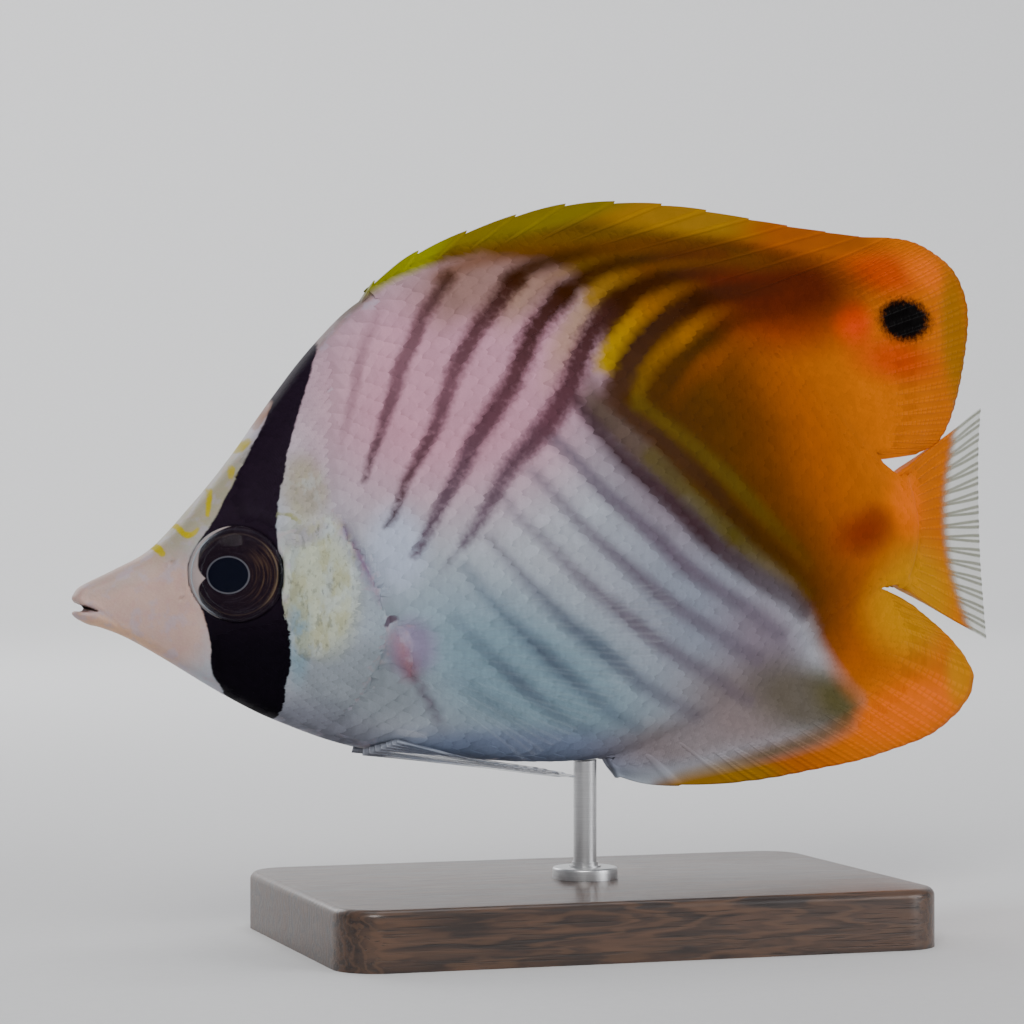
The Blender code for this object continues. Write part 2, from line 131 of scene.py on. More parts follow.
# Skin: stations along the body as pairs of place and step there, and points round half a ring above and below the mouth
SKIN_STEPS = ((0, 0.06), (0.7, 0.16), (4.5, 0.22), (9, 0.3), (27, 0.3), (38, 0.34), (44, 0.7), (90, 0.85), (133, 0.7))
RING_ABOVE = 70
RING_BELOW = 62
SNOUT_ROUND = 0.75
MOUTH_OPEN = 1.5
LIP_ROLL = 0.4
SOCKET_DEPTH = 2.6
PECTORAL_PAD = ((42.2, -17.9), (2.6, 4.9), 0.75)
PAD_LEAN = 0.44

# Scales: length and row distance at places along the body, and in front of which line there are none
BODY_SCALE = ((34, 1.7), (42, 2.3), (52, 2.55), (88, 2.45), (106, 1.95), (133, 1.35))
ROW_STEP = 1.28
ROW_SHRINK = ((34, 0.8), (46, 1.0), (84, 1.0), (112, 0.78), (133, 0.62))
HEAD_SCALE = 1.3
HEAD_ROW = 0.66
MIDDLE_ROW = ((0, -12.5), (25, -6), (60, 0), (100, -0.5), (133, -2.6))
SCALE_FRONT = ((-40, 21), (-26, 20.5), (-17.5, 18.6), (-15.6, 21), (-14.6, 27), (-1.8, 27), (-0.6, 22), (4, 21.6),
               (12, 24.6), (40, 32))
FIN_SCALE = 1.35
FIN_ROW = 0.74
SCALED_FLANK = (46, 133)
FLANK_MISFIT = 1.1
OTHER_MISFIT = 0.5
STEEPEST = (1.2, 2.5)
BENEATH_RIDGE = 0.12

# Extent and step of the chart of paints, and how close two vertices, in metres, are one
CHART_STEP = 0.14
CHART_LOW = (-3.0, -48.0)
CHART_HIGH = (162.0, 50.0)
DOUBLE = 2e-6


def linear(red, green, blue):
    """Linear colour of 8-bit values as a photograph shows them."""
    shown = np.array((red, green, blue)) / 255
    return np.where(shown <= 0.04045, shown / 12.92, ((shown + 0.055) / 1.055) ** 2.4)


def tint(label, about, red, green, blue):
    """Colour property with its default in a photograph's 8-bit values."""
    return bpy.props.FloatVectorProperty(name=label, description=about, subtype="COLOR", size=3, min=0, max=1,
                                         default=tuple(float(c) for c in linear(red, green, blue)))


def size(label, about, default, low, high):
    return bpy.props.FloatProperty(name=label, description=about, default=default, min=low, max=high,
                                   subtype="DISTANCE", unit="LENGTH")


class FishSizes(bpy.types.PropertyGroup):
    """Sizes of the coat and fins, in metres."""
    coat_depth: size("Coat depth", "How far the skin lies inside the scales", 0.00022, 0, 0.001)
    scale_lift: size("Scale lift", "How far a scale's free edge stands off the skin", 0.00014, 0, 0.001)
    scale_thickness: size("Scale thickness", "Thickness of a scale", 0.000045, 0.00002, 0.0005)
    fin_half: size("Fin half thickness", "Half the thickness of a fin's membrane", 0.00014, 0.00005, 0.001)
    ray_rise: size("Ray rise", "How far soft rays stand out of the membrane", 0.00008, 0, 0.001)
    spine_rise: size("Spine rise", "How far spines stand out of the membrane", 0.00034, 0, 0.001)


class FishColours(bpy.types.PropertyGroup):
    """Paints of the body and fins."""
    pearl: tint("Pearl", "Middle of the flank", 168, 172, 181)
    pink: tint("Pink", "Upper flank and shoulder", 187, 134, 152)
    top_grey: tint("Back", "Warm grey close under the dorsal fin", 136, 104, 98)
    # Cool pearl and blue white are partly their own bluish tone and partly painted shade: darker on the lower flank and
    # belly, where light from above falls off
    cool: tint("Cool pearl", "Blue-green sheen of the lower flank", 117, 144, 158)
    blue_white: tint("Blue white", "Belly and the front of the anal fin's edge", 114, 127, 152)
    belly_warm: tint("Warm belly", "Behind the belly over the anal fin", 124, 108, 106)
    lilac: tint("Lilac", "Rear of the white field", 120, 106, 118)
    grey_olive: tint("Grey olive", "Corner of the white field", 80, 74, 42)
    snout: tint("Snout", "Pinkish beige skin of the snout", 188, 158, 148)
    snout_top: tint("Snout top", "Greyer skin on top of the snout", 170, 150, 142)
    jaw: tint("Jaw", "Orange tint under the jaw", 226, 178, 136)
    forehead: tint("Forehead", "Yellowish white of the forehead", 150, 142, 112)
    gill_plate: tint("Gill plate", "Yellowish granular gill cover", 182, 188, 166)
    gill_line: tint("Gill line", "Purple edge of the gill opening", 112, 88, 118)
    # Throat is partly its own colour and partly painted shade, darker where light from above falls off
    throat: tint("Throat", "Throat and breast", 112, 114, 126)
    band: tint("Eye band", "Purple-black bar through the eye", 31, 21, 34)
    band_low: tint("Low eye band", "Darker lower end of the bar", 12, 8, 16)
    stripe: tint("Stripe", "Dark purple-brown stripes of the upper flank", 88, 55, 65)
    stripe_low: tint("Low stripe", "Cold grey-purple lower ends of the stripes", 58, 38, 44)
    # This paint also lays the painted shadow below the pectoral fin's base
    plum: tint("Plum", "Softer lower ends of the rear stripes", 88, 74, 88)
    stripe_grey: tint("Grey stripe", "Faint stripes of the lower flank", 92, 82, 96)
    stripe_brown: tint("Brown stripe", "Dark stripes that sweep into the dorsal fin", 50, 22, 3)
    umber: tint("Umber", "Brown ground between the stripes at the dorsal fin's foot", 92, 52, 2)
    cream: tint("Cream", "Cream stripes between the dark ones", 154, 123, 100)
    bright: tint("Bright yellow", "Brightest yellow stripe and dashes", 160, 128, 1)
    ochre: tint("Ochre", "Ochre stripes", 138, 86, 1)
    olive: tint("Olive", "Olive stripes and zones", 78, 66, 18)
    olive_gold: tint("Olive gold", "Golden olive stripes", 124, 98, 2)
    olive_brown: tint("Olive brown", "Brown zone behind the chevrons", 68, 38, 1)
    yellow_green: tint("Yellow green", "Margin over the dorsal spines", 132, 134, 2)
    gold: tint("Gold", "Rear of the body", 194, 99, 1)
    orange: tint("Orange", "Rear fins", 154, 76, 1)
    amber: tint("Amber", "Anal fin's rear", 226, 102, 1)
    tail_gold: tint("Tail gold", "Tail fin and lower rear", 190, 126, 1)
    rust: tint("Rust", "Dark orange spot on the tail base", 124, 44, 1)
    red_brown: tint("Red brown", "Dark zone of the dorsal fin", 82, 26, 1)
    glow: tint("Glow", "Orange-red in front of the black spot", 206, 62, 1)
    red_orange: tint("Red orange", "Round the black spot", 188, 62, 1)
    rear_margin: tint("Rear margin", "Golden olive rim of the dorsal fin", 154, 98, 1)
    # This paint also darkens the inside of the mouth, as painted shade
    spot: tint("Spot", "Black spot on the dorsal fin", 4, 2, 2)
    clear: tint("Clear margin", "Translucent rim of the tail fin", 116, 118, 88)
    bark: tint("Bark", "Brown line inside the chevrons", 64, 39, 24)
    moss: tint("Moss", "Dark golden lines of the chevrons", 86, 66, 8)
    # Drab is also laid along the nape ridge as painted shade
    drab: tint("Drab", "Grey-green blend at the rear of the white field", 90, 82, 70)
    citron: tint("Citron", "Margin over the middle dorsal spines", 118, 102, 1)
    straw: tint("Straw", "Golden margin over the last dorsal spines", 146, 104, 1)
    walnut: tint("Walnut", "Brown ground inside the chevrons", 81, 45, 1)
    chestnut: tint("Chestnut", "Brown ground further back", 99, 51, 1)
    copper: tint("Copper", "Where brown turns to orange", 128, 64, 1)
    marigold: tint("Marigold", "Orange of the rear body", 172, 88, 1)
    sepia: tint("Sepia", "Dark lines at the dorsal fin's foot", 60, 34, 4)
    khaki: tint("Khaki", "Dull gold between those lines", 100, 72, 6)
    honey: tint("Honey", "Front ends of the golden stripes", 134, 100, 30)
    bronze: tint("Bronze", "Rear ends of the golden stripes", 98, 54, 1)
    mink: tint("Mink", "Grey-brown upper end of the olive stripe", 84, 68, 60)
    slate: tint("Slate", "Faint stripes towards the belly", 80, 92, 108)
    mist: tint("Mist", "Grey-blue rear of the white field", 122, 129, 144)
    # Haze is partly its own colour and partly painted shade on the lower cheek and breast, where light from above falls
    # off
    haze: tint("Haze", "Cheek and breast", 124, 132, 139)
    ice: tint("Ice", "Bluish white behind the gill cover", 172, 182, 204)
    lemon: tint("Lemon", "Dashes on the forehead", 176, 158, 1)
    mauve: tint("Mauve", "Fleshy base of the pectoral fin", 138, 126, 156)
    base_red: tint("Base red", "Red flush on the pectoral base", 142, 98, 110)


class StageSettings(bpy.types.PropertyGroup):
    """Camera and light."""
    lens: bpy.props.FloatProperty(name="Lens", description="Focal length", default=117, min=20, max=300,
                                  subtype="DISTANCE_CAMERA", unit="CAMERA")
    distance: size("Distance", "Camera to the plane through the rod", 0.46, 0.1, 3)
    turn: bpy.props.FloatProperty(name="Turn", description="Camera's turn towards the head", subtype="ANGLE",
                                  unit="ROTATION", default=math.radians(-18), min=-math.pi, max=math.pi)
    shift: bpy.props.FloatProperty(name="Shift", description="Camera's place along the picture's width",
                                   default=-0.010092, min=-1, max=1, subtype="DISTANCE", unit="LENGTH")
    light: bpy.props.FloatProperty(name="Key light", description="Power of the key light", default=4.9, min=0,
                                   max=200, subtype="POWER", unit="POWER")


# Streaks with ragged edges: paint or paints, half widths and strengths at the start, middle and end, and the middle
# line as pairs of s and z
UPPER = ("stripe_brown", "stripe", "stripe_low")
FADING = ("stripe_brown", "stripe", "plum")
STREAKS = (
    ("stripe", (0.6, 0.65, 0.4), (0.2, 0.5, 0.15), (
        (41.4, 27.4), (39.9, 25), (38.6, 22.6), (37.4, 19.6), (36.6, 16.5), (35.6, 13.2), (34.2, 8))),
    (UPPER, (0.9, 1, 0.42), (0.85, 0.8, 0.9), (
        (51, 31.8), (49.8, 30.4), (48.3, 28.5), (46.5, 26.2), (45.3, 23.8), (44.1, 21.4), (42.7, 19), (42.1, 17),
        (41.2, 14.6), (40.2, 12.2), (39.5, 10.4), (38.2, 7.2), (37.2, 4.2))),
    (UPPER, (1.3, 1.1, 0.45), (1, 0.88, 0.95), (
        (60.2, 31.6), (59, 30.7), (57.5, 28.8), (55.7, 26.8), (54, 25), (52.7, 23), (51.4, 21), (50.2, 19), (49.3, 17),
        (48.4, 14.8), (47.4, 12.2), (45.8, 9.2), (43.9, 6), (42.4, 3.2), (41.2, -0.4), (40.1, -1.9))),
    (FADING, (1.5, 1.4, 0.6), (1, 0.97, 0.95), (
        (66.6, 29.8), (65.2, 28.4), (63.6, 26.8), (62, 25), (60.9, 23.2), (59.9, 21.2), (58.9, 19.2), (57.9, 17.2),
        (56.2, 14.9), (54.2, 12.2), (52.2, 9.4), (50.6, 6.2), (48.8, 3.2), (46.8, -0.4), (45.6, -2.8), (43.9, -5.7))),
    (FADING, (1.5, 1.6, 0.7), (1, 1, 0.9), (
        (74.6, 28.8), (72.8, 27.6), (71.3, 26.3), (70, 24.9), (68.8, 23.1), (67.7, 21.1), (66.8, 19.3), (65.8, 17.2),
        (64.3, 14.6), (62.3, 11.6), (60.2, 9.2), (58, 6.9), (55.8, 4), (54.2, 1), (52.8, -1.2), (50.6, -4.2))),
    ("stripe_grey", (0.4, 0.35, 0.3), (0.5, 0.6, 0.2), ((50.4, -4.6), (48.6, -6.6), (47.4, -8.6))),
    ("pearl", (0.3, 0.45, 0.35), (0.1, 0.2, 0.25), (
        (15.1, -11.4), (15.9, -14), (16.6, -16.4), (17, -19), (17.5, -21.4), (18.7, -23.2))),
)

# Soft strokes, laid one over the other: paints, half widths, strengths, softness and middle line
STROKES = (
    ("stripe_grey", (0.8, 1.25, 1), (0.8, 1, 0.5), 0.85, (
        (61.4, 11), (63.6, 9.4), (66, 7.1), (70, 2.7), (74, -0.6), (78, -3.8), (82, -7.2), (86, -9.6), (90, -11.6),
        (94, -13.6), (98, -15.7), (102, -17.6))),
    ("stripe_grey", (0.6, 1.1, 1), (0.7, 0.88, 0.45), 0.85, (
        (60.2, 5.4), (62, 3.6), (66, -0.9), (70, -4.6), (74, -7.7), (78, -10.9), (82, -13.4), (86, -15.5), (90, -17.5),
        (94, -19.4), (98, -21))),
    ("stripe_grey", (0.5, 1.1, 0.9), (0.6, 0.88, 0.4), 0.85, (
        (56.4, 2), (58, -0.4), (62, -4), (66, -8.1), (70, -11.5), (74, -14.5), (78, -17.3), (82, -19.6), (86, -21.6),
        (90, -23.3), (94, -25.3), (98, -26.8))),
    (("stripe_grey", "slate", "stripe_grey"), (0.5, 1.15, 0.9), (0.6, 0.95, 0.45), 0.85, (
        (54, -3.4), (58, -7.6), (62, -11.7), (66, -15.5), (70, -18.5), (74, -21.4), (78, -24.1), (82, -26),
        (88, -28.6))),
    ("slate", (0.5, 1.1, 0.8), (0.5, 0.98, 0.45), 0.85, (
        (50.6, -7), (54, -11.3), (58, -15.1), (62, -18.8), (66, -22.4), (70, -25.3), (74, -28.1), (78, -29.8))),
    ("slate", (0.5, 1, 0.7), (0.45, 0.92, 0.35), 0.85, (
        (49.8, -14.4), (54, -18.5), (58, -22), (62, -25.3), (66, -28.2), (70, -30))),
    ("slate", (0.4, 0.9, 0.5), (0.2, 0.5, 0.1), 1, ((50.4, -21.6), (54, -24.8), (58, -27.4), (62, -30))),
    ("top_grey", (1.6, 1.6, 1), (0.9, 0.8, 0), 1.3, ((56, 33.4), (52.4, 30), (49.4, 26), (47, 22))),
    (("top_grey", "cream", "cream"), (1.6, 1.5, 1), (0.9, 0.6, 0), 1.3, (
        (64.4, 33), (61.6, 30), (58.4, 26), (56, 22))),
    ("umber", (0.8, 1.1, 0.8), (0.6, 0.85, 0.5), 1.1, (
        (49.4, 31.6), (53, 33.4), (57, 34.5), (62, 35.2), (68, 35.7), (76, 36.4), (86, 36.9), (98, 37.2))),
    (("top_grey", "khaki", "umber"), (0.9, 0.75, 0.5), (0.6, 1, 0.4), 0.8, (
        (61.6, 28.4), (63.6, 30.8), (66, 32.3), (68, 33.1), (70, 33.8), (74, 35), (80, 35.8))),
    (("stripe_brown", "sepia", "umber"), (1.2, 0.9, 0.7), (1, 0.9, 0.4), 0.9, (
        (59.4, 31.2), (61.4, 32.8), (63.6, 33.7), (66, 34.4), (70, 35.4), (74, 36.2), (80, 36.8))),
    (("stripe_brown", "sepia", "red_brown"), (1.4, 1, 0.8), (1, 0.95, 0.4), 0.9, (
        (66, 29.2), (68, 30.8), (70, 32), (74, 33.6), (78, 34.6), (82, 35.3), (87, 36), (94, 36.4))),
    ("cream", (1.0, 1.7, 1.4), (0.05, 0.75, 1), 1.1, (
        (61.5, 15), (63.1, 18), (64.6, 21), (66, 23.4), (67.6, 25.8), (70, 28.6))),
    (("honey", "bronze", "umber"), (1.25, 0.9, 0.6), (1, 1, 0.4), 0.9, (
        (70.4, 29), (71.9, 30.4), (74, 31.5), (78, 32.8), (82, 33.7), (86, 34.4), (91, 35))),
    (("stripe_brown", "stripe_brown", "red_brown"), (1.5, 1.15, 0.8), (1, 0.95, 0.4), 0.9, (
        (73.6, 28.2), (76, 29.8), (78, 30.8), (82, 32.2), (86, 33), (90, 33.6), (97, 34.4))),
    (("plum", "mink", "mink"), (0.9, 1.5, 1.2), (0.3, 0.8, 0.9), 1, (
        (68.2, 18), (69, 15.8), (69.9, 13.9), (71.4, 12.2))),
    ("mink", (1, 1.5, 1.4), (0.3, 0.55, 0.75), 1, ((69.9, 20), (69.2, 17.8), (68.4, 15.6))),
    ("cream", (0.95, 0.8, 0.4), (1, 0.75, 0), 0.8, ((71.2, 21.6), (70.6, 20.2), (70, 18.6))),
    (("bark", "stripe_brown", "red_brown"), (1.6, 1.5, 0.9), (0.9, 1, 0.6), 0.9, (
        (70.8, 13.4), (71.6, 16), (74, 18.6), (76, 22), (78, 24.4), (80, 25.9), (82, 27), (86, 28.8), (90, 30.1),
        (94, 30.9), (98, 31.4), (102, 32), (106, 32.9), (112, 34.2))),
    (("bright", "ochre", "umber"), (1.3, 1.15, 0.5), (1, 1, 0.3), 0.8, (
        (71, 20.2), (72.2, 22.2), (74, 24.2), (76, 26), (78, 27.5), (80, 28.7), (82, 29.7), (86, 31.3), (90, 32))),
    ("copper", (0.9, 1.5, 1), (0.1, 0.75, 0.2), 1.5, (
        (80.6, 14.6), (83, 17.6), (86, 19.8), (90, 21.6), (94, 23.4), (99, 24.6))),
    (("olive_brown", "sepia", "red_brown"), (0.9, 1.15, 0.9), (0.7, 0.9, 0.5), 1, (
        (78, 13.8), (79.8, 16.6), (82, 19.2), (84, 21.4), (86, 23), (90, 25), (94, 26.8), (98, 27.8), (103, 28.8))),
    (("moss", "ochre", "red_brown"), (0.9, 1.1, 0.6), (1, 1, 0.3), 0.8, (
        (75.2, 14.4), (75.8, 16.6), (76.9, 18.8), (78.4, 20.5), (80, 21.8), (82, 23), (84, 24.3), (86, 25.5),
        (90, 27.5), (94, 28.6), (98, 29.4))),
    ("mink", (1.4, 1.9, 1.6), (1, 1, 0.8), 0.9, (
        (69.5, 13.6), (71.8, 11.7), (73.7, 9.9), (77.7, 6.2), (80.8, 3.3))),
    (("olive", "olive", "moss"), (1.5, 1.7, 1.2), (0.75, 1, 0.5), 0.9, (
        (77, 7.4), (79, 5.4), (82, 2.6), (86, -0.5), (90, -3.3), (94, -5.8), (98, -7.9), (102, -9.7), (106, -12.2))),
    (("bark", "sepia", "olive_brown"), (1, 1.2, 1), (1, 1, 0.3), 0.9, (
        (72.4, 14.4), (74, 13.1), (78, 10.5), (82, 7.1), (86, 3.9), (90, 0.2), (94, -2.9), (98, -5.4), (102, -7.6),
        (106, -10.2), (109, -13))),
    ("moss", (0.9, 1.25, 1), (0.9, 1, 0.2), 0.9, (
        (75.6, 14.9), (78, 13.1), (82, 10.4), (86, 7.4), (90, 4.4), (94, 1.2), (98, -1.8), (102, -4.6), (106, -7.4))),
    ("base_red", (0.8, 1.1, 0.9), (0.4, 0.75, 0.9), 1, ((41.2, -16.4), (43, -19.4), (44.2, -21.6))),
    # Painted shadow: a soft grey line on the flank below the pectoral fin's base
    ("stripe_grey", (0.5, 0.6, 0.4), (0.8, 0.85, 0.4), 0.6, (
        (44.7, -22.3), (46.1, -24.3), (47.6, -26.5), (49.2, -29.4))),
    ("gill_line", (0.4, 0.6, 0.4), (0.5, 0.7, 0.4), 0.7, (
        (34.4, -1.6), (36.4, -5.4), (38, -8.6), (39.4, -12))),
    ("stripe_low", (0.9, 1.5, 1.5), (0.95, 1, 0.7), 0.9, (
        (66.2, 15.6), (68, 12.8), (70, 10.4), (74, 6.2), (78, 2.9), (82, -0.3), (86, -3.7), (90, -6.3), (94, -8.5),
        (98, -10.4), (102, -12), (106, -14.2))),
    (("olive_gold", "grey_olive", "olive"), (0.4, 0.8, 1), (0.3, 0.8, 0.5), 1.2, (
        (86, -36.9), (92, -36), (98, -35.1), (105, -33.9), (112, -32.6), (118, -30.8))),
)

# Small marks, drawn over the streaks in the same way
MARKS = (
    # The first mark paints the inside of the open mouth near black in the spot's paint: painted shade in the mouth
    ("spot", (0.42, 0.26, 0.1), (1, 1, 1), ((-1, -12.2), (1.4, -12.5), (3, -13))),
    ("lemon", (0.2, 0.32, 0.22), (0.9, 1, 0.9), ((18.1, 2.9), (17.6, 1.2), (17.2, -0.5))),
    ("lemon", (0.34, 0.42, 0.24), (1, 1, 0.7), ((13.6, -1.7), (14.1, -2.8), (14.8, -3.1), (15.9, -2.3))),
    ("lemon", (0.45, 0.56, 0.4), (1, 1, 0.9), ((10.8, -4.4), (11.4, -5.5))),
    ("lemon", (0.3, 0.4, 0.3), (0.7, 0.9, 0.6), ((20.9, 5.9), (20.5, 4.6))),
    ("lemon", (0.25, 0.4, 0.25), (0.6, 0.9, 0.6), ((21.9, 8), (23.4, 9.6))),
    ("ochre", (0.2, 0.3, 0.15), (0.5, 0.7, 0.4), ((24.2, 11), (25.4, 12.8), (26.6, 14.6))),
    ("yellow_green", (0.2, 0.34, 0.2), (0.4, 0.6, 0.4), ((26.2, -0.2), (27.6, -0.5), (28.8, -1.4))),
    ("gill_line", (0.15, 0.25, 0.15), (0.3, 0.5, 0.3), (
        (34.6, -2), (36.2, -5.2), (37.7, -8), (38.8, -10.4), (39.5, -12.4))),
    ("plum", (0.3, 0.55, 0.25), (0.9, 1, 0.8), ((40.2, -15.1), (40.8, -14.3), (42.3, -13.9))),
    ("pearl", (0.4, 0.5, 0.4), (0.3, 0.7, 0.3), ((43.2, -29.4), (45, -29.7), (47, -29.9))),
)

# Outline of the black bar through the eye: down its front edge from the nape, and up its rear edge from the throat
BAND = ((33, 24.4), (29.6, 20), (27.4, 16.4), (26.5, 14.6), (25.5, 12.4), (24.2, 10), (22.9, 7.5), (21.4, 5),
        (19.9, 2.4), (18.5, 0), (17.3, -2), (15.8, -4), (15.5, -6.6), (15.5, -9.8), (15.8, -12), (16.5, -14),
        (17.1, -16), (17.5, -18), (17.6, -20), (18.1, -21.6), (19.1, -22.8), (20.6, -24.6), (21, -29), (26.2, -30),
        (27.2, -27), (27.6, -25), (27.4, -23), (27.9, -20.4), (27.8, -18), (27.5, -16), (27, -14), (26.5, -12),
        (26.2, -9.6), (26, -6.8), (25.8, -4), (25.7, -1.6), (25.9, 0.4), (26.3, 2.6), (27, 5), (27.4, 7.4),
        (28.2, 10), (29.1, 12.5), (30.1, 15.2), (31.2, 18), (32.3, 20.8), (33.6, 24.4))
SPOT_CENTRE = (132.4, 28.6)
SPOT_RADII = (6.7, 3.2)
SPOT_EDGE = 0.9
MARK_EDGE = 0.14

# Everything behind and above this line is yellow to orange
REAR = ((36, 26), (38.6, 28), (41, 29.7), (44, 31.4), (48, 33), (52, 34.2), (56, 34.7), (60, 34.9), (65, 34.4),
        (68.6, 32.4), (70.6, 28.4), (70.8, 24), (71, 20), (71, 16.4), (71.4, 13), (74, 10.6), (78, 6.8), (82, 2.8),
        (86, -0.2), (90, -3), (94, -5.8), (98, -8.2), (102, -10.8), (106, -14.2), (109, -17), (112, -20),
        (115, -23), (118, -25.6), (121.4, -28), (119.4, -30.6), (113, -32.6),
        (105, -34), (96, -35.4), (88, -36.6), (82.5, -37.8), (80.5, -40), (80, -50), (172, -50), (172, 52), (30, 52))

# Its ground colour by the place along the body, measured from a line that leans as the chevrons do
REAR_LEAN = ((-38, -8), (-30, -6), (-25, 4), (-20, 13), (-12, 14), (-4, 8.5), (0, 5), (6, 1.5), (12, 0), (20, -4),
             (28, -4))
REAR_TONES = ((80, "olive_brown"), (89, "walnut"), (96, "chestnut"), (101, "copper"), (107, "orange"),
              (118, "marigold"), (127, "gold"))
TAIL_MARGIN = ((-24, 152), (-20, 149.6), (-15, 146.6), (-10, 144), (-5, 142.2), (0, 141.6), (5, 142), (10, 143.4),
               (20, 146))

# Washes of paint: strength, centre, radii, turn in degrees and the share of the radius where it starts to fade
WASHES = (
    ("pink", 0.95, (52, 18.5), (36, 25), 20, 0.35), ("top_grey", 0.95, (57, 31.5), (18, 8), 12, 0.3),
    # The cool and blue_white washes darken the lower flank and belly: partly their own bluish tone, partly painted
    # shade for light from above
    ("cool", 0.95, (60, -22), (36, 17), -24, 0.2), ("blue_white", 1, (60, -33), (34, 5.4), -2, 0.35),
    ("ice", 0.8, (41.5, -5), (6, 8), 0, 0.3), ("belly_warm", 0.8, (86, -32), (20, 6), 4, 0.2),
    ("mist", 0.9, (86, -14), (33, 18), -38, 0.1), ("lilac", 0.85, (76, 2.6), (22, 6.4), -42, 0.1),
    ("lilac", 0.85, (99, -19), (18, 10), -32, 0.15), ("belly_warm", 0.85, (97, -28), (20, 9), -18, 0.2),
    ("drab", 0.95, (109, -27), (19, 8), -16, 0.25), ("grey_olive", 0.95, (117, -27.4), (11, 5.4), -24, 0.2),
    # The haze and throat washes darken cheek, breast and throat: partly their own tone, partly painted shade for light
    # from above
    ("haze", 0.85, (37, -23), (14, 8), -12, 0.4), ("throat", 0.85, (32, -30), (17, 7), -20, 0.3),
    ("snout", 1, (6, -13), (16, 12), -6, 0.6), ("snout_top", 0.8, (5.5, -8.6), (8, 2.4), 20, 0.3),
    ("jaw", 0.7, (6.5, -17), (9, 2.6), -28, 0.3), ("forehead", 0.85, (16.5, 1.5), (13, 5), 50, 0.4),
    ("gill_plate", 0.95, (31.2, -9.8), (6.4, 11.4), 12, 0.5), ("forehead", 0.65, (29.4, 3), (4, 6), 0, 0.4),
    ("mauve", 0.5, (29.6, -3), (4.4, 2), 24, 0.3), ("cool", 0.85, (28.8, -17), (2.2, 8), 2, 0.3),
    ("mist", 0.7, (36.4, -6), (1.6, 7), 24, 0.3), ("gill_line", 0.7, (35.8, -4.4), (0.9, 5), 28, 0.2),
    ("mauve", 0.9, (44, -18), (4.4, 5.4), 14, 0.4),
)
REAR_WASHES = (
    ("tail_gold", 1, (134, -13), (18, 12), 0, 0.35), ("amber", 1, (134, -29.4), (22, 6), 8, 0.35),
    ("tail_gold", 0.8, (148, -24), (6, 8), 0, 0.3), ("amber", 0.7, (131, 1), (9, 7), 0, 0.3),
    ("rust", 1, (118, -3), (11, 5), 8, 0.1), ("rust", 0.5, (121, -1), (5, 4), 0, 0.1),
    ("rust", 0.9, (106, 27.4), (24, 7), 2, 0.1), ("red_orange", 0.9, (127, 35.4), (15, 5), -3, 0.2),
    ("amber", 0.9, (138, 36), (10, 4), -14, 0.2), ("red_orange", 0.9, (130, 22.6), (16, 5), -3, 0.15),
    ("glow", 1, (119.8, 27.6), (6.6, 4.8), 0, 0.1), ("red_brown", 1, (103, 32), (28, 7.4), 2, 0.3),
    ("umber", 0.95, (82, 36.3), (34, 3.5), -1, 0.35), ("umber", 1, (74, 33), (16, 6), -6, 0.5),
    ("khaki", 0.8, (62, 38.6), (32, 5), 8, 0.5), ("straw", 1, (88, 41.6), (25, 4.2), -1, 0.35),
    ("orange", 1, (112, 40), (19, 3.2), -2, 0.4), ("citron", 0.95, (62, 40.4), (26, 3.4), 14, 0.45),
    ("yellow_green", 0.95, (45, 33.6), (12, 3.6), 38, 0.4),
    ("straw", 0.9, (94, -37.4), (15, 2.8), 1, 0.4), ("rear_margin", 0.95, (146.5, 27), (6, 15), 6, 0.35),
)


def along(table, at):
    """Value at a place on the smooth curve through a table's pairs of place and value, as in the solids."""
    places, values = (np.array(column, float) for column in zip(*table))
    slopes = np.empty_like(values)
    slopes[1:-1] = (values[2:] - values[:-2]) / (places[2:] - places[:-2])
    slopes[0] = (values[1] - values[0]) / (places[1] - places[0])
    slopes[-1] = (values[-1] - values[-2]) / (places[-1] - places[-2])
    at = np.clip(at, places[0], places[-1])
    k = np.clip(np.searchsorted(places, at, side="right") - 1, 0, len(places) - 2)
    width = places[k + 1] - places[k]
    t = (at - places[k]) / width
    rise = values[k + 1] - values[k]
    start = slopes[k] * width
    end = slopes[k + 1] * width
    return values[k] + t * (start + t * (3 * rise - 2 * start - end + t * (start + end - 2 * rise)))


def on_edge(points, share):
    """Points at shares of the length of a smooth outline."""
    lengths = np.concatenate([[0], np.cumsum([math.dist(a, b) for a, b in zip(points, points[1:])])])
    at = np.asarray(share) * lengths[-1]
    return np.stack([along(tuple(zip(lengths, values)), at) for values in zip(*points)], -1)


def ease(t):
    """Smooth step from 0 to 1."""
    t = np.clip(t, 0.0, 1.0)
    return t * t * (3 - 2 * t)


def lerp(a, b, t):
    return a + (b - a) * t


def dome(x):
    """Height of a quarter circle over x from 0 to 1."""
    return np.sqrt(1 - (1 - np.clip(x, 0, 1)) ** 2)


def spine(s):
    """The middle line from above: how far ahead and aside it has come at s, and which way it points there."""
    angle = np.clip(s - BEND_START, 0, BEND_END - BEND_START) / BEND_RADIUS
    beyond = np.maximum(s - BEND_END, 0)
    ahead = np.minimum(s, BEND_START) + BEND_RADIUS * np.sin(angle) + beyond * np.cos(angle)
    aside = BEND_RADIUS * (1 - np.cos(angle)) + beyond * np.sin(angle)
    return ahead, aside, angle


def place(s, y, z):
    """World points, in metres, of places in body coordinates, with the rod at the origin."""
    s, y, z = np.broadcast_arrays(np.asarray(s, float), y, z)
    ahead, aside, angle = spine(s)
    rod_ahead, rod_aside, _ = spine(ROD_PLACE)
    x = ahead - rod_ahead - y * np.sin(angle)
    return np.stack([x, aside - rod_aside + y * np.cos(angle), z + AXIS_HEIGHT], -1) * MM


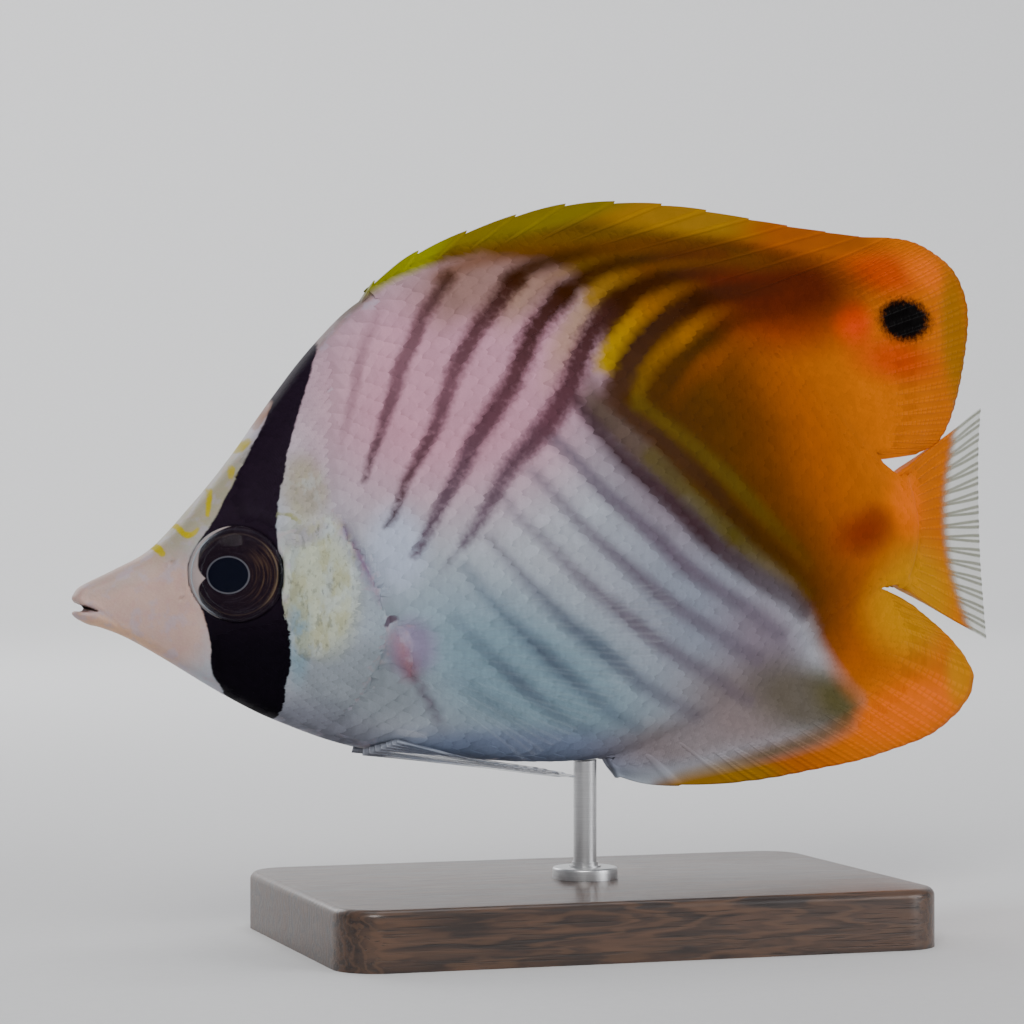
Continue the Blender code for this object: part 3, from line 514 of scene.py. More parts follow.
def unplace(points):
    """Body coordinates s, y and z of world points."""
    rod_ahead, rod_aside, _ = spine(ROD_PLACE)
    x = points[:, 0] / MM + rod_ahead
    y = points[:, 1] / MM + rod_aside
    angle = np.arctan2(x - BEND_START, BEND_RADIUS - y)
    s = np.where(angle < 0, x, BEND_START + BEND_RADIUS * angle)
    off = np.where(angle < 0, y, BEND_RADIUS - np.hypot(x - BEND_START, BEND_RADIUS - y))
    end_ahead, end_aside, end_angle = spine(BEND_END)
    ahead = (x - end_ahead) * math.cos(end_angle) + (y - end_aside) * math.sin(end_angle)
    aside = (y - end_aside) * math.cos(end_angle) - (x - end_ahead) * math.sin(end_angle)
    past = angle > BEND_ANGLE
    return np.where(past, BEND_END + ahead, s), np.where(past, aside, off), points[:, 2] / MM - AXIS_HEIGHT


def back(s):
    return along(BACK, s)


def belly(s):
    return along(BELLY, s)


def half_width(s, z):
    """Half the thickness of the solids' flesh at a height."""
    top = back(s)
    low = belly(s)
    t = np.clip((z - (top + low) / 2) / ((top - low) / 2), -1.0, 1.0)
    full = along(HALF_WIDTH, s)
    lip = LIP_SWELL * np.maximum(0.0, 1 - ((s - LIP_PLACE) / LIP_PLACE) ** 2)
    edge = np.minimum(RIDGE_HALF, 0.6 * full)
    power = np.where(t > 0, along(BACK_FULLNESS, s), along(BELLY_FULLNESS, s))
    return edge + (full + lip - edge) * (1 - t * t) ** (power / 2)


def bump(distance, width):
    """Bell of height 1 over a distance."""
    return np.exp(-(distance / width) ** 2)


def height_share(s, z):
    """Share of the way from belly to back."""
    return np.clip((z - belly(s)) / (back(s) - belly(s)), 0, 1)


def gill_edge(s, z):
    """How far behind the gill opening a place is."""
    return s - HEAD_LENGTH - along(GILL_BOW, height_share(s, z))


def from_pad(s, z):
    """Distance from the middle of the pectoral fin's fleshy base, 1 at its edge."""
    centre, radii, _ = PECTORAL_PAD
    turned_s = s - centre[0] + PAD_LEAN * (z - centre[1])
    return np.hypot(turned_s / radii[0], (z - centre[1]) / radii[1])


def relief(s, z):
    """How far the forms of the head stand out of the plain section, in millimetres."""
    share = height_share(s, z)
    behind = gill_edge(s, z)
    reach = ease(4 * share) * ease(4 * (0.62 - share))
    cover = GILL_FLAP * ease(1 + behind / GILL_FLAP_REACH) * (1 - ease(behind / 0.35)) * reach
    groove = -0.3 * bump(behind - 0.55, 0.4) * reach
    eye_s, eye_z = EYE_PLACE
    from_eye = np.hypot(s - eye_s, z - eye_z) / EYE_RADIUS
    socket = -SOCKET_DEPTH * dome((0.97 - from_eye) * 2.2) + 0.14 * bump(from_eye - 1.03, 0.05)
    brow = 0.25 * bump(from_eye - 1.25, 0.16) * ease((z - eye_z) / 6)
    plate = np.hypot((s - 31.2) / 5.2, (z + 10.2) / 9.6)
    gill_plate = 0.22 * (1 - ease((plate - 0.9) / 0.1)) - 0.12 * bump(plate - 1.04, 0.05)
    cheek = -0.16 * bump(s - 27.8 - 0.012 * (z + 9) ** 2, 0.5) * ease((z + 26) / 5) * ease(-(z + 1) / 4)
    total = cover + groove + socket + brow + gill_plate + cheek
    for nostril_s, nostril_z in NOSTRILS:
        from_rim = np.hypot(s - nostril_s, (z - nostril_z) * 0.8)
        total = total - 0.4 * (1 - ease((from_rim - 0.08) / 0.26)) + 0.08 * bump(from_rim - 0.5, 0.16)
    crease_z = along(UPPER_LIP, s)
    crease = -0.05 * bump(z - crease_z, 0.35) * ease((s - MOUTH_CORNER + 0.4) / 0.6) * ease((CHIN - s) / 2)
    lip = along(((0, 0.9), (MOUTH_CORNER, 0.7)), s)
    rolled = 0.13 * bump(np.abs(z - crease_z + 0.3) - lip, 0.35) * ease((MOUTH_CORNER + 1.2 - s) / 1.4)
    pad = PECTORAL_PAD[2] * (1 - ease((from_pad(s, z) - 0.3) / 0.7))
    swell = 0.05 * np.sin(s * 0.9 + z * 0.5) * np.sin(z * 0.7 - s * 0.3) * ease((s - 6) / 8)
    return total + crease + rolled + pad + swell


def coat_depth(s):
    """The coat's depth in millimetres, none on the bare snout."""
    return bpy.context.scene.fish_sizes.coat_depth / MM * ease((s - 14) / 6)


def skin_half(s, z):
    """Half thickness of the skin, rounded over at the ridge of the back and the keel."""
    edge = np.minimum(RIDGE_HALF, 0.6 * along(HALF_WIDTH, s))
    round_off = edge * (1 - dome(np.minimum(back(s) - z, z - belly(s)) / edge))
    shape = half_width(s, z) - round_off
    return np.maximum(shape + (relief(s, z) - coat_depth(s)) * np.minimum(1, shape), 0)


def fin_out(s, z):
    """How far a place lies out on a middle fin, below 0 on the flesh."""
    return np.maximum(np.maximum(z - back(s), belly(s) - z) * 0.82, s - CAUDAL_FOOT - CAUDAL_BOW)


def ripple(s, z):
    """Sideways waves of the middle fins."""
    return FIN_WAVE * np.sin(s * 0.33 + z * 0.1) * ease((fin_out(s, z) - 4) / 16)


def fin_half(out):
    """Half thickness of a middle fin at a distance from the body's outline, with a fillet at its foot."""
    membrane = bpy.context.scene.fish_sizes.fin_half / MM
    wedge = (RIDGE_HALF - 0.2 - membrane) * np.clip(1 - out / 13, 0, 1) ** 2
    return membrane + wedge + 0.35 * np.exp(-np.maximum(out, -1) / 1.2)


def cover(s, z):
    """Half thickness of whatever carries scales at a place: flesh, or a fin beyond the body's outline."""
    out = fin_out(s, z)
    on_tail = s - CAUDAL_FOOT - CAUDAL_BOW
    finned = (s > DORSAL_FOOT[0]) & (z > 0) | (s > ANAL_FOOT[0]) & (z < 0) | (on_tail > -1)
    at = np.minimum(s, 133)
    plain = half_width(at, z) + relief(at, z) - coat_depth(at)
    flesh = np.where(finned, plain, skin_half(at, z)) * np.clip(1 - on_tail / 2.2, 0, 1)
    flesh = np.where((z > back(s)) | (z < belly(s)), 0, flesh)
    return np.where(finned & (out > -1.5), np.maximum(flesh, fin_half(out)), flesh)


def deselect():
    """Leaves object mode with nothing selected."""
    if bpy.context.object and bpy.context.object.mode != "OBJECT":
        bpy.ops.object.mode_set(mode="OBJECT")
    bpy.ops.object.select_all(action="DESELECT")


def read(piece):
    points = np.empty(len(piece.data.vertices) * 3)
    piece.data.vertices.foreach_get("co", points)
    return points.reshape(-1, 3)


def write(piece, points):
    piece.data.vertices.foreach_set("co", np.ascontiguousarray(points, float).ravel())
    piece.data.update()


def grid(name, columns, rows):
    """Flat unit grid from the primitive, with the column and row of each vertex."""
    deselect()
    bpy.ops.mesh.primitive_grid_add(x_subdivisions=columns - 1, y_subdivisions=rows - 1, size=1)
    piece = bpy.context.object
    piece.name = name
    piece.data.name = name
    flat = read(piece) + 0.5
    column = np.rint(flat[:, 0] * (columns - 1)).astype(int)
    row = np.rint(flat[:, 1] * (rows - 1)).astype(int)
    return piece, column, row


def activate(piece):
    """Leaves only this piece selected and active."""
    deselect()
    bpy.context.view_layer.objects.active = piece
    piece.select_set(True)


def apply_modifier(piece, kind, **settings):
    activate(piece)
    modifier = piece.modifiers.new(kind.lower(), kind)
    for key, value in settings.items():
        setattr(modifier, key, value)
    bpy.ops.object.modifier_apply(modifier=modifier.name)


def face_out(piece, merge=True):
    """Points all faces outwards, after doubles are merged and collapsed faces dropped."""
    activate(piece)
    bpy.ops.object.mode_set(mode="EDIT")
    bpy.ops.mesh.select_all(action="SELECT")
    if merge:
        bpy.ops.mesh.remove_doubles(threshold=DOUBLE)
        bpy.ops.mesh.dissolve_degenerate(threshold=DOUBLE / 2)
        bpy.ops.mesh.select_all(action="SELECT")
    bpy.ops.mesh.normals_make_consistent(inside=False)
    bpy.ops.object.mode_set(mode="OBJECT")


def smooth_by_angle(piece, degrees):
    """Smooth faces, with edges left sharp where they turn further than the angle."""
    activate(piece)
    bpy.ops.object.shade_smooth_by_angle(angle=math.radians(degrees))


def finish_piece(piece, slot, material, *replaced):
    """Gives a finished piece its material and body, and hides the solids it stands for."""
    piece.data.materials.clear()
    piece.data.materials.append(material)
    piece.data.shade_smooth()
    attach(piece, "root")
    if replaced:
        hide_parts(*replaced)


# Chart of the paints over the fish's side view, worked out once from the named curves and read by every piece
CHART = {}


def glide(points, steps):
    """Points on a smooth curve through a streak's points."""
    count = (len(points) - 1) * steps + 1
    return on_edge(points, np.linspace(0, 1, count))


def from_line(line, s, z):
    """Distance to a polyline and the share along it of the nearest place."""
    best = np.full(s.shape, 1e9)
    share = np.zeros(s.shape)
    spans = len(line) - 1
    for k in range(spans):
        run = line[k + 1] - line[k]
        t = np.clip(((s - line[k][0]) * run[0] + (z - line[k][1]) * run[1]) / (run @ run), 0, 1)
        away = np.hypot(s - line[k][0] - t * run[0], z - line[k][1] - t * run[1])
        nearer = away < best
        best = np.where(nearer, away, best)
        share = np.where(nearer, (k + t) / spans, share)
    return best, share


def inside(line, s, z):
    """Distance to a closed outline, positive inside it."""
    closed = np.vstack([line, line[:1]])
    away, _ = from_line(closed, s, z)
    within = np.zeros(s.shape, bool)
    for a, b in zip(closed, closed[1:]):
        if a[1] != b[1]:
            crosses = (a[1] > z) != (b[1] > z)
            within ^= crosses & (s < (b[0] - a[0]) * (z - a[1]) / (b[1] - a[1]) + a[0])
    return np.where(within, away, -away)


def three(values, share):
    """Value between those at the start, middle and end."""
    return np.interp(share, (0, 0.5, 1), values)


def colour_of(name):
    return np.array(getattr(bpy.context.scene.fish_colours, name))


def paints(names):
    """Colours of several paints, or of one for the start, middle and end of a streak."""
    return [colour_of(name) for name in ((names,) * 3 if isinstance(names, str) else names)]


def wash(ground, s, z, washes, mask=1.0):
    """Lays soft ellipses of paint over the ground."""
    for name, strength, centre, radii, turn, core in washes:
        c = math.cos(math.radians(turn))
        d = math.sin(math.radians(turn))
        x = (s - centre[0]) * c + (z - centre[1]) * d
        y = (z - centre[1]) * c - (s - centre[0]) * d
        share = strength * mask * (1 - ease((np.hypot(x / radii[0], y / radii[1]) - core) / (1 - core)))
        ground += (colour_of(name) - ground) * share[..., None]


def near_line(points, s, z):
    """The chart's places near a streak, and their distances and shares along its smooth middle line."""
    line = glide(points, 5)
    low = line.min(0) - 4
    high = line.max(0) + 4
    box = np.nonzero((s >= low[0]) & (s <= high[0]) & (z >= low[1]) & (z <= high[1]))
    away, share = from_line(line, s[box], z[box])
    return box, away, share


def brush(ground, s, z):
    """Lays the soft strokes over the ground."""
    for names, widths, strengths, soft, points in STROKES:
        box, away, share = near_line(points, s, z)
        part = three(strengths, share) * ease(((three(widths, share) - away) / soft + 1) / 2)
        colours = np.stack([three(values, share) for values in zip(*paints(names))], 1)
        ground[box] += (colours - ground[box]) * part[:, None]


def draw(strokes, s, z, softness, field, layer):
    """Draws streaks: field keeps how far inside the nearest one's edge a place is, in units of the edge's softness, and
    layer its colour and strength."""
    for names, widths, strengths, points in strokes:
        box, away, share = near_line(points, s, z)
        inner = (three(widths, share) - away) / softness(s[box])
        won = inner > field[box]
        spots = tuple(axis[won] for axis in box)
        field[spots] = inner[won]
        colours = zip(*paints(names))
        layer[spots] = np.stack([three(values, share[won]) for values in (*colours, strengths)], 1)


def make_chart():
    """All paint layers over s and z: ground colour, streaks, marks, and the distances inside their edges."""
    s, z = np.meshgrid(np.arange(CHART_LOW[0], CHART_HIGH[0], CHART_STEP),
                       np.arange(CHART_LOW[1], CHART_HIGH[1], CHART_STEP))
    ground = np.empty(s.shape + (3,))
    ground[:] = colour_of("pearl")
    wash(ground, s, z, WASHES)
    rear_edge = inside(np.array(REAR, float), s, z)
    rear = ease(rear_edge / np.interp(s, (50, 80, 116), (1.4, 2.4, 5)) + 0.5)
    behind = np.empty_like(ground)
    places, names = zip(*REAR_TONES)
    leaning = s - along(REAR_LEAN, z)
    for axis, values in enumerate(zip(*paints(names))):
        behind[..., axis] = np.interp(leaning, places, values)
    wash(behind, s, z, REAR_WASHES)
    ground += (behind - ground) * rear[..., None]
    brush(ground, s, z)
    # Painted shade: the bare ridge of the nape is blended towards drab within 1.6 mm of the back, where light falls off
    # over the ridge
    ridge = ease(1 - (back(s) - z) / 1.6) * ease((s - 24) / 6) * ease((41 - s) / 2)
    ground += (colour_of("drab") - ground) * (0.75 * ridge)[..., None]
    clear = ease((s - along(TAIL_MARGIN, z)) / 3.5) * ease((22 - np.abs(z)) / 2)
    clear *= (z < 17) & (z > -21) & (s > 138)
    ground += (colour_of("clear") - ground) * clear[..., None]
    plate = np.hypot((s - 31.2 - 0.1 * (z + 10)) / 5.4, (z + 10) / 10.2)
    grains = np.maximum(1 - ease((plate - 0.8) / 0.25), 0.7 * bump(np.hypot((s - 29.5) / 3.4, (z - 3) / 4.4), 0.8))
    streak = np.zeros(s.shape + (4,))
    mark = np.zeros(s.shape + (4,))
    streak_in = np.full(s.shape, -3.0)
    mark_in = np.full(s.shape, -3.0)
    draw(STREAKS, s, z, lambda at: np.interp(at, (34, 46, 58, 74), (0.4, 0.65, 1.05, 1.2)), streak_in, streak)
    draw(MARKS, s, z, lambda at: MARK_EDGE, mark_in, mark)
    band = inside(np.array(BAND, float), s, z) / MARK_EDGE
    x = (s - SPOT_CENTRE[0]) / SPOT_RADII[0]
    y = (z - SPOT_CENTRE[1]) / SPOT_RADII[1]
    spot = (1 - np.hypot(x, y)) * SPOT_RADII[1] / SPOT_EDGE
    for name, field in (("band", band), ("spot", spot)):
        won = field > mark_in
        mark_in = np.where(won, field, mark_in)
        mark[won] = (*colour_of(name), 1)
    low = ease((-6 - z) / 13)[..., None] * (band > spot)[..., None] * (band >= mark_in)[..., None]
    mark[..., :3] += (colour_of("band_low") - mark[..., :3]) * low
    return {"ground": ground, "streak": streak, "mark": mark,
            "edges": np.stack([streak_in, mark_in, clear + grains], -1)}


def look_up(layer, s, z):
    """Reads a chart layer between its points."""
    column = np.clip((s - CHART_LOW[0]) / CHART_STEP, 0, layer.shape[1] - 1.001)
    row = np.clip((z - CHART_LOW[1]) / CHART_STEP, 0, layer.shape[0] - 1.001)
    c = column.astype(int)
    r = row.astype(int)
    u = (column - c)[:, None]
    v = (row - r)[:, None]
    low = layer[r, c] * (1 - u) + layer[r, c + 1] * u
    high = layer[r + 1, c] * (1 - u) + layer[r + 1, c + 1] * u
    return low * (1 - v) + high * v


def paint(piece, s, z):
    """Stores the chart's paints at each vertex, as attributes that the materials read."""
    if not CHART:
        CHART.update(make_chart())
    for name in ("ground", "streak", "mark"):
        values = look_up(CHART[name], s, z)
        if values.shape[1] == 3:
            values = np.concatenate([values, np.ones((len(values), 1))], 1)
        layer = piece.data.attributes.new(name, "FLOAT_COLOR", "POINT")
        layer.data.foreach_set("color", values.ravel())
    layer = piece.data.attributes.new("edges", "FLOAT_VECTOR", "POINT")
    layer.data.foreach_set("vector", look_up(CHART["edges"], s, z).ravel())


def paint_by_place(piece):
    s, _, z = unplace(read(piece))
    paint(piece, s, z)


class Value:
    """A node's output that Python operators act on by adding Math nodes."""

    def __init__(self, finish, socket):
        self.finish = finish
        self.socket = socket

    def maths(self, operation, *others):
        return self.finish.node("ShaderNodeMath", {0: self, **dict(enumerate(others, 1))}, operation=operation)

    def flipped(self, operation, other):
        return self.finish.node("ShaderNodeMath", {0: other, 1: self}, operation=operation)

    def __add__(self, other):
        return self.maths("ADD", other)

    __radd__ = __add__

    def __sub__(self, other):
        return self.maths("SUBTRACT", other)

    def __rsub__(self, other):
        return self.flipped("SUBTRACT", other)

    def __mul__(self, other):
        return self.maths("MULTIPLY", other)

    __rmul__ = __mul__

    def __truediv__(self, other):
        return self.maths("DIVIDE", other)

    def __rtruediv__(self, other):
        return self.flipped("DIVIDE", other)

    def smooth(self, low, high):
        """Smooth step from 0 at low to 1 at high."""
        return self.finish.node("ShaderNodeMapRange", {"Value": self, "From Min": low, "From Max": high},
                                interpolation_type="SMOOTHSTEP")


class Finish:
    """A material under construction, on a Principled shader."""

    def __init__(self, name, **constants):
        self.material = bpy.data.materials.new(name)
        self.material.use_nodes = True
        self.tree = self.material.node_tree
        self.shader = self.tree.nodes["Principled BSDF"]
        for key, value in constants.items():
            self.shader.inputs[key.replace("_", " ").title().replace("Ior", "IOR")].default_value = value

    def node(self, kind, inputs=None, output=0, stops=None, **settings):
        """Adds a node with its settings, a ramp's stops and its sockets' values or links."""
        made = self.tree.nodes.new(kind)
        for key, value in settings.items():
            setattr(made, key, value)
        if stops:
            ramp = made.color_ramp
            while len(ramp.elements) < len(stops):
                ramp.elements.new(0.5)
            for element, (at, colour) in zip(ramp.elements, stops):
                element.position = at
                element.color = (*colour, 1)
        for key, value in (inputs or {}).items():
            if isinstance(value, Value):
                self.tree.links.new(value.socket, made.inputs[key])
            else:
                made.inputs[key].default_value = value
        return Value(self, made.outputs[output])

    def attribute(self, name, output="Color"):
        return self.node("ShaderNodeAttribute", output=output, attribute_name=name)

    def place(self, stretch=(1, 1, 1)):
        """Object coordinates in millimetres, stretched for a grain."""
        at = self.node("ShaderNodeTexCoord", output="Object")
        return self.node("ShaderNodeVectorMath", {0: at, 1: tuple(v / MM for v in stretch)}, operation="MULTIPLY")

    def noise(self, at, scale, detail=2.0, output="Fac"):
        return self.node("ShaderNodeTexNoise", {"Vector": at, "Scale": scale, "Detail": detail}, output=output)

    def mix(self, low, high, share):
        """Colour between two, by a share."""
        low = (*low, 1) if isinstance(low, tuple) else low
        high = (*high, 1) if isinstance(high, tuple) else high
        return self.node("ShaderNodeMix", {0: share, 6: low, 7: high}, output=2, data_type="RGBA")

    def shade(self, tone, factor):
        """Colour made lighter or darker."""
        return self.node("ShaderNodeVectorMath", {0: tone, "Scale": factor}, operation="SCALE")

    def parts(self, vector):
        """The three values of a vector."""
        return [self.node("ShaderNodeSeparateXYZ", {0: vector}, output=axis) for axis in range(3)]

    def set(self, **links):
        for key, value in links.items():
            self.tree.links.new(value.socket, self.shader.inputs[key.replace("_", " ").title()])
        return self

    def raise_by(self, height, distance, strength=1.0):
        """Bump from a height, in millimetres at 1."""
        bumped = self.node("ShaderNodeBump", {"Height": height, "Distance": distance * MM, "Strength": strength},
                           output="Normal")
        return self.set(normal=bumped)


def gill_grains(finish, at, tone, share):
    """Yellow and chalky granules of the gill cover, with painted shade in small pits."""
    upright = finish.place((1, 1, 0.6))
    dabs = finish.noise(upright, 0.42, 7).smooth(0.46, 0.6)
    chalk = finish.noise(upright, 0.3, 7).smooth(0.5, 0.6)
    pit_shade = finish.noise(upright, 1.5, 4).smooth(0.56, 0.68)
    tone = finish.mix(tone, (0.38, 0.37, 0.20), dabs * share * 0.55)
    tone = finish.mix(tone, (0.46, 0.53, 0.57), chalk * share * 0.5)
    # Painted shade: the tone is darker in small pits
    return finish.shade(tone, 1 - pit_shade * share * 0.3)


def fish_paint(finish, grainy):
    """The fish's colours at a point: ground, streaks and marks with ragged edges, mottled as living skin is."""
    at = finish.place()
    streak_in, mark_in, extra = finish.parts(finish.attribute("edges", "Vector"))
    grain = finish.noise(at, 1.5, 3) - 0.5
    speckle = finish.noise(at, 5.0, 2) - 0.5
    fringe = grain + speckle * 0.6
    streak = (streak_in + grain * 1.2 + speckle * 0.25).smooth(-1.0, 1.0) * finish.attribute("streak", "Alpha")
    mark = (mark_in + fringe * 2.0).smooth(-1.0, 1.0) * finish.attribute("mark", "Alpha")
    tone = finish.mix(finish.attribute("ground"), finish.attribute("streak"), streak)
    if grainy:
        tone = gill_grains(finish, at, tone, extra)
    tone = finish.mix(tone, finish.attribute("mark"), mark)
    cloud = finish.noise(at, 0.35, 3) - 0.5
    tone = finish.shade(tone, 1 + cloud * 0.22 + speckle * 0.16)
    return at, tone, mark, extra, speckle


def skin_finish():
    """Bare skin: matt pearl with fine pores and shallow wrinkles."""
    finish = Finish("fish_skin", specular_ior_level=0.03, coat_roughness=0.3, subsurface_weight=0.08,
                    subsurface_scale=0.001)
    at, tone, mark, _, speckle = fish_paint(finish, True)
    pale = finish.parts(tone)[2].smooth(0.08, 0.25) * (1 - mark)
    pores = finish.node("ShaderNodeTexVoronoi", {"Vector": at, "Scale": 2.6}, output="Distance")
    veins = finish.noise(at, 0.9, 5)
    blush = finish.noise(at, 0.8, 4).smooth(0.45, 0.75)
    bloom = finish.noise(at, 0.5, 6).smooth(0.48, 0.66)
    tone = finish.mix(tone, (0.46, 0.25, 0.25), blush * 0.3 * pale)
    tone = finish.mix(tone, (0.38, 0.35, 0.45), bloom * 0.45 * pale)
    finish.set(base_color=tone, roughness=0.42 + speckle * 0.18 + mark * 0.08, coat_weight=pale * 0.2)
    finish.raise_by(pores * 0.5 + veins * 0.7 + finish.noise(at, 7, 2) * 0.25, 0.05)
    return finish.material


def scale_finish():
    """Scales: pearly, with rings of growth, a darker root and a pale rim to each."""
    finish = Finish("fish_scales", specular_ior_level=0.02, coat_roughness=0.28)
    at, tone, mark, _, speckle = fish_paint(finish, True)
    out, across, _ = finish.parts(finish.node("ShaderNodeUVMap", uv_map="leaf"))
    rim = out.smooth(0.84, 0.98)
    root = 1 - out.smooth(0.35, 0.6)
    fleck = finish.attribute("fleck", "Fac")
    tone = finish.shade(tone, 1 + rim * 0.08 - root * 0.14 + fleck * 0.06)
    blue = finish.parts(tone)[2]
    rings = (out * 40 + finish.noise(at, 1.3, 2) * 9).maths("SINE") * 0.4
    grooves = (across * 31).maths("SINE") * 0.25 * out.smooth(0.3, 0.9)
    finish.set(base_color=tone, roughness=0.4 + speckle * 0.2 + mark * 0.1, coat_weight=blue * 0.42)
    finish.raise_by(rings + grooves + finish.noise(at, 6, 2) * 0.8, 0.009)
    return finish.material


def branching(ray, out, start, spread, edge, core):
    """1 on a ray and on its branches, which part from a share of the way out, 0 on the membrane."""
    off_ray = (ray + 0.5).maths("FRACT") - 0.5
    split = out.smooth(start, 0.95) * spread
    return ((off_ray.maths("ABSOLUTE") - split).maths("ABSOLUTE")).smooth(edge, core)


def fin_finish():
    """Fins: the body's colours over branching, jointed rays; the tail's rim is nearly clear."""
    finish = Finish("fish_fins", specular_ior_level=0.03, coat_weight=0.0)
    at, tone, mark, clear, speckle = fish_paint(finish, False)
    ray, out, _ = finish.parts(finish.node("ShaderNodeUVMap", uv_map="rays"))
    branch = branching(ray, out, 0.35, 0.2, 0.16, 0.05)
    joints = (out * 150 + ray * 0.7).maths("SINE").smooth(0.2, 0.9) * branch * out.smooth(0.2, 0.4)
    tone = finish.shade(tone, 0.92 + branch * 0.14 - joints * 0.12)
    finish.set(base_color=tone, roughness=0.38 + speckle * 0.2, alpha=1 - clear * (0.84 - branch * 0.42))
    finish.raise_by(branch - joints * 0.5 + finish.noise(at, 5, 2) * 0.4, 0.06)
    return finish.material


def clear_finish():
    """Paired fins: glassy membrane between pale rays, with a tinted fleshy root."""
    finish = Finish("clear_fins", specular_ior_level=0.3, coat_weight=0.2, coat_roughness=0.2)
    at = finish.place()
    ray, out, _ = finish.parts(finish.node("ShaderNodeUVMap", uv_map="rays"))
    branch = branching(ray, out, 0.3, 0.22, 0.15, 0.04)
    joints = (out * 130).maths("SINE").smooth(0.0, 0.8) * branch
    root = 1 - out.smooth(0.0, 0.16)
    tone = finish.mix(finish.attribute("ground"), (0.62, 0.62, 0.60), 0.1 + out * 0.25)
    tone = finish.mix(tone, finish.attribute("mark"), finish.attribute("mark", "Alpha") * root * 0.7)
    solid = finish.attribute("solid", "Fac")
    finish.set(base_color=tone, roughness=0.3 + finish.noise(at, 4, 2) * 0.16,
               alpha=solid * (0.1 + branch * 0.42 + root * 0.5))
    finish.raise_by(branch - joints * 0.5, 0.05)
    return finish.material


def mesh_piece(name, points, faces):
    """Mesh object from world points and equal-sided faces, as arrays."""
    data = bpy.data.meshes.new(name)
    sides = faces.shape[1]
    data.vertices.add(len(points))
    data.vertices.foreach_set("co", points.ravel())
    data.loops.add(faces.size)
    data.loops.foreach_set("vertex_index", faces.ravel().astype(np.int32))
    data.polygons.add(len(faces))
    data.polygons.foreach_set("loop_start", np.arange(0, faces.size, sides, dtype=np.int32))
    data.update(calc_edges=True)
    piece = bpy.data.objects.new(name, data)
    bpy.context.collection.objects.link(piece)
    return piece


def skin_stops():
    """Stations of the skin's rings, closer where the forms are finer."""
    stops = [0.0]
    places, steps = zip(*SKIN_STEPS)
    while stops[-1] < 133:
        stops.append(stops[-1] + float(np.interp(stops[-1], places, steps)))
    near = min(range(len(stops)), key=lambda i: abs(stops[i] - MOUTH_OPEN))
    stops[near] = MOUTH_OPEN
    return stops


def even(line, count, first=0.0, last=1.0):
    """Points evenly spaced along part of a polyline of y and z."""
    steps = np.hypot(*np.diff(line, axis=0).T)
    lengths = np.concatenate([[0], np.cumsum(steps)])
    at = np.linspace(first, last, count) * lengths[-1]
    return np.stack([np.interp(at, lengths, line[:, 0]), np.interp(at, lengths, line[:, 1])], 1)


def mouth_line(s):
    """Height of the mouth's middle and half its opening at the lips."""
    top = along(UPPER_LIP, s)
    low = top - GAP - MOUTH_GAPE * np.maximum(0.0, 1 - s / MOUTH_CORNER)
    return (top + low) / 2, (top - low) / 2 * ease((MOUTH_CORNER - s) / 0.9)


def lobe(s, upper):
    """Half section of the upper snout or the lower jaw in front of the mouth's corner, from outside to the mouth."""
    middle, gape = mouth_line(s)
    sign = 1 if upper else -1
    outer = float(back(s) if upper else belly(s))
    roll = LIP_ROLL * float(ease((MOUTH_CORNER - s) / 0.8))
    edge = middle + sign * (gape + roll)
    z = outer + (edge - outer) * (1 - np.cos(np.linspace(0, math.pi / 2, 60)))
    outside = np.stack([skin_half(s, z), z], 1)
    width = outside[-1, 0]
    wall = max(0.0, (s - MOUTH_OPEN) / (MOUTH_CORNER - MOUTH_OPEN)) ** (1 / 1.5) * width
    roll_in = min(roll, width - wall)
    turn = np.linspace(0, math.pi / 2, 10)[1:]
    lip = np.stack([width - roll_in * (1 - np.cos(turn)), edge - sign * roll * np.sin(turn)], 1)
    inner = np.linspace(width - roll_in, wall, 24)[1:]
    back_wall = MOUTH_OPEN + (MOUTH_CORNER - MOUTH_OPEN) * (inner / width) ** 1.5
    roof = np.stack([inner, middle + sign * gape * dome((back_wall - s) / 0.8)], 1)
    line = np.vstack([outside, lip, roof])
    centre = np.array((0, (outer + middle + sign * gape) / 2))
    return centre + (line - centre) * dome(s / SNOUT_ROUND)


def half_ring(s):
    """Points of the right half of the skin's section, from the back over the mouth's seam to the belly."""
    above = RING_ABOVE
    below = RING_BELOW
    if s < MOUTH_CORNER:
        ring = np.vstack([even(lobe(s, True), above), even(lobe(s, False), below)[::-1]])
        if s > MOUTH_OPEN:
            ring[above - 1:above + 1] = ring[above - 1:above + 1].mean(0)
        return ring
    share = (1 - np.cos(np.linspace(0, math.pi, 400))) / 2
    z = lerp(float(back(s)), float(belly(s)), share)
    line = np.stack([skin_half(s, z), z], 1)
    lengths = np.concatenate([[0], np.cumsum(np.hypot(*np.diff(line, axis=0).T))])
    seam = float(np.interp(-mouth_line(min(s, CHIN))[0], -z, lengths)) / lengths[-1]
    seam = lerp(seam, above / (above + below), float(ease((s - MOUTH_CORNER) / 22)))
    return np.vstack([even(line, above, 0, seam), even(line, below, seam, 1)])


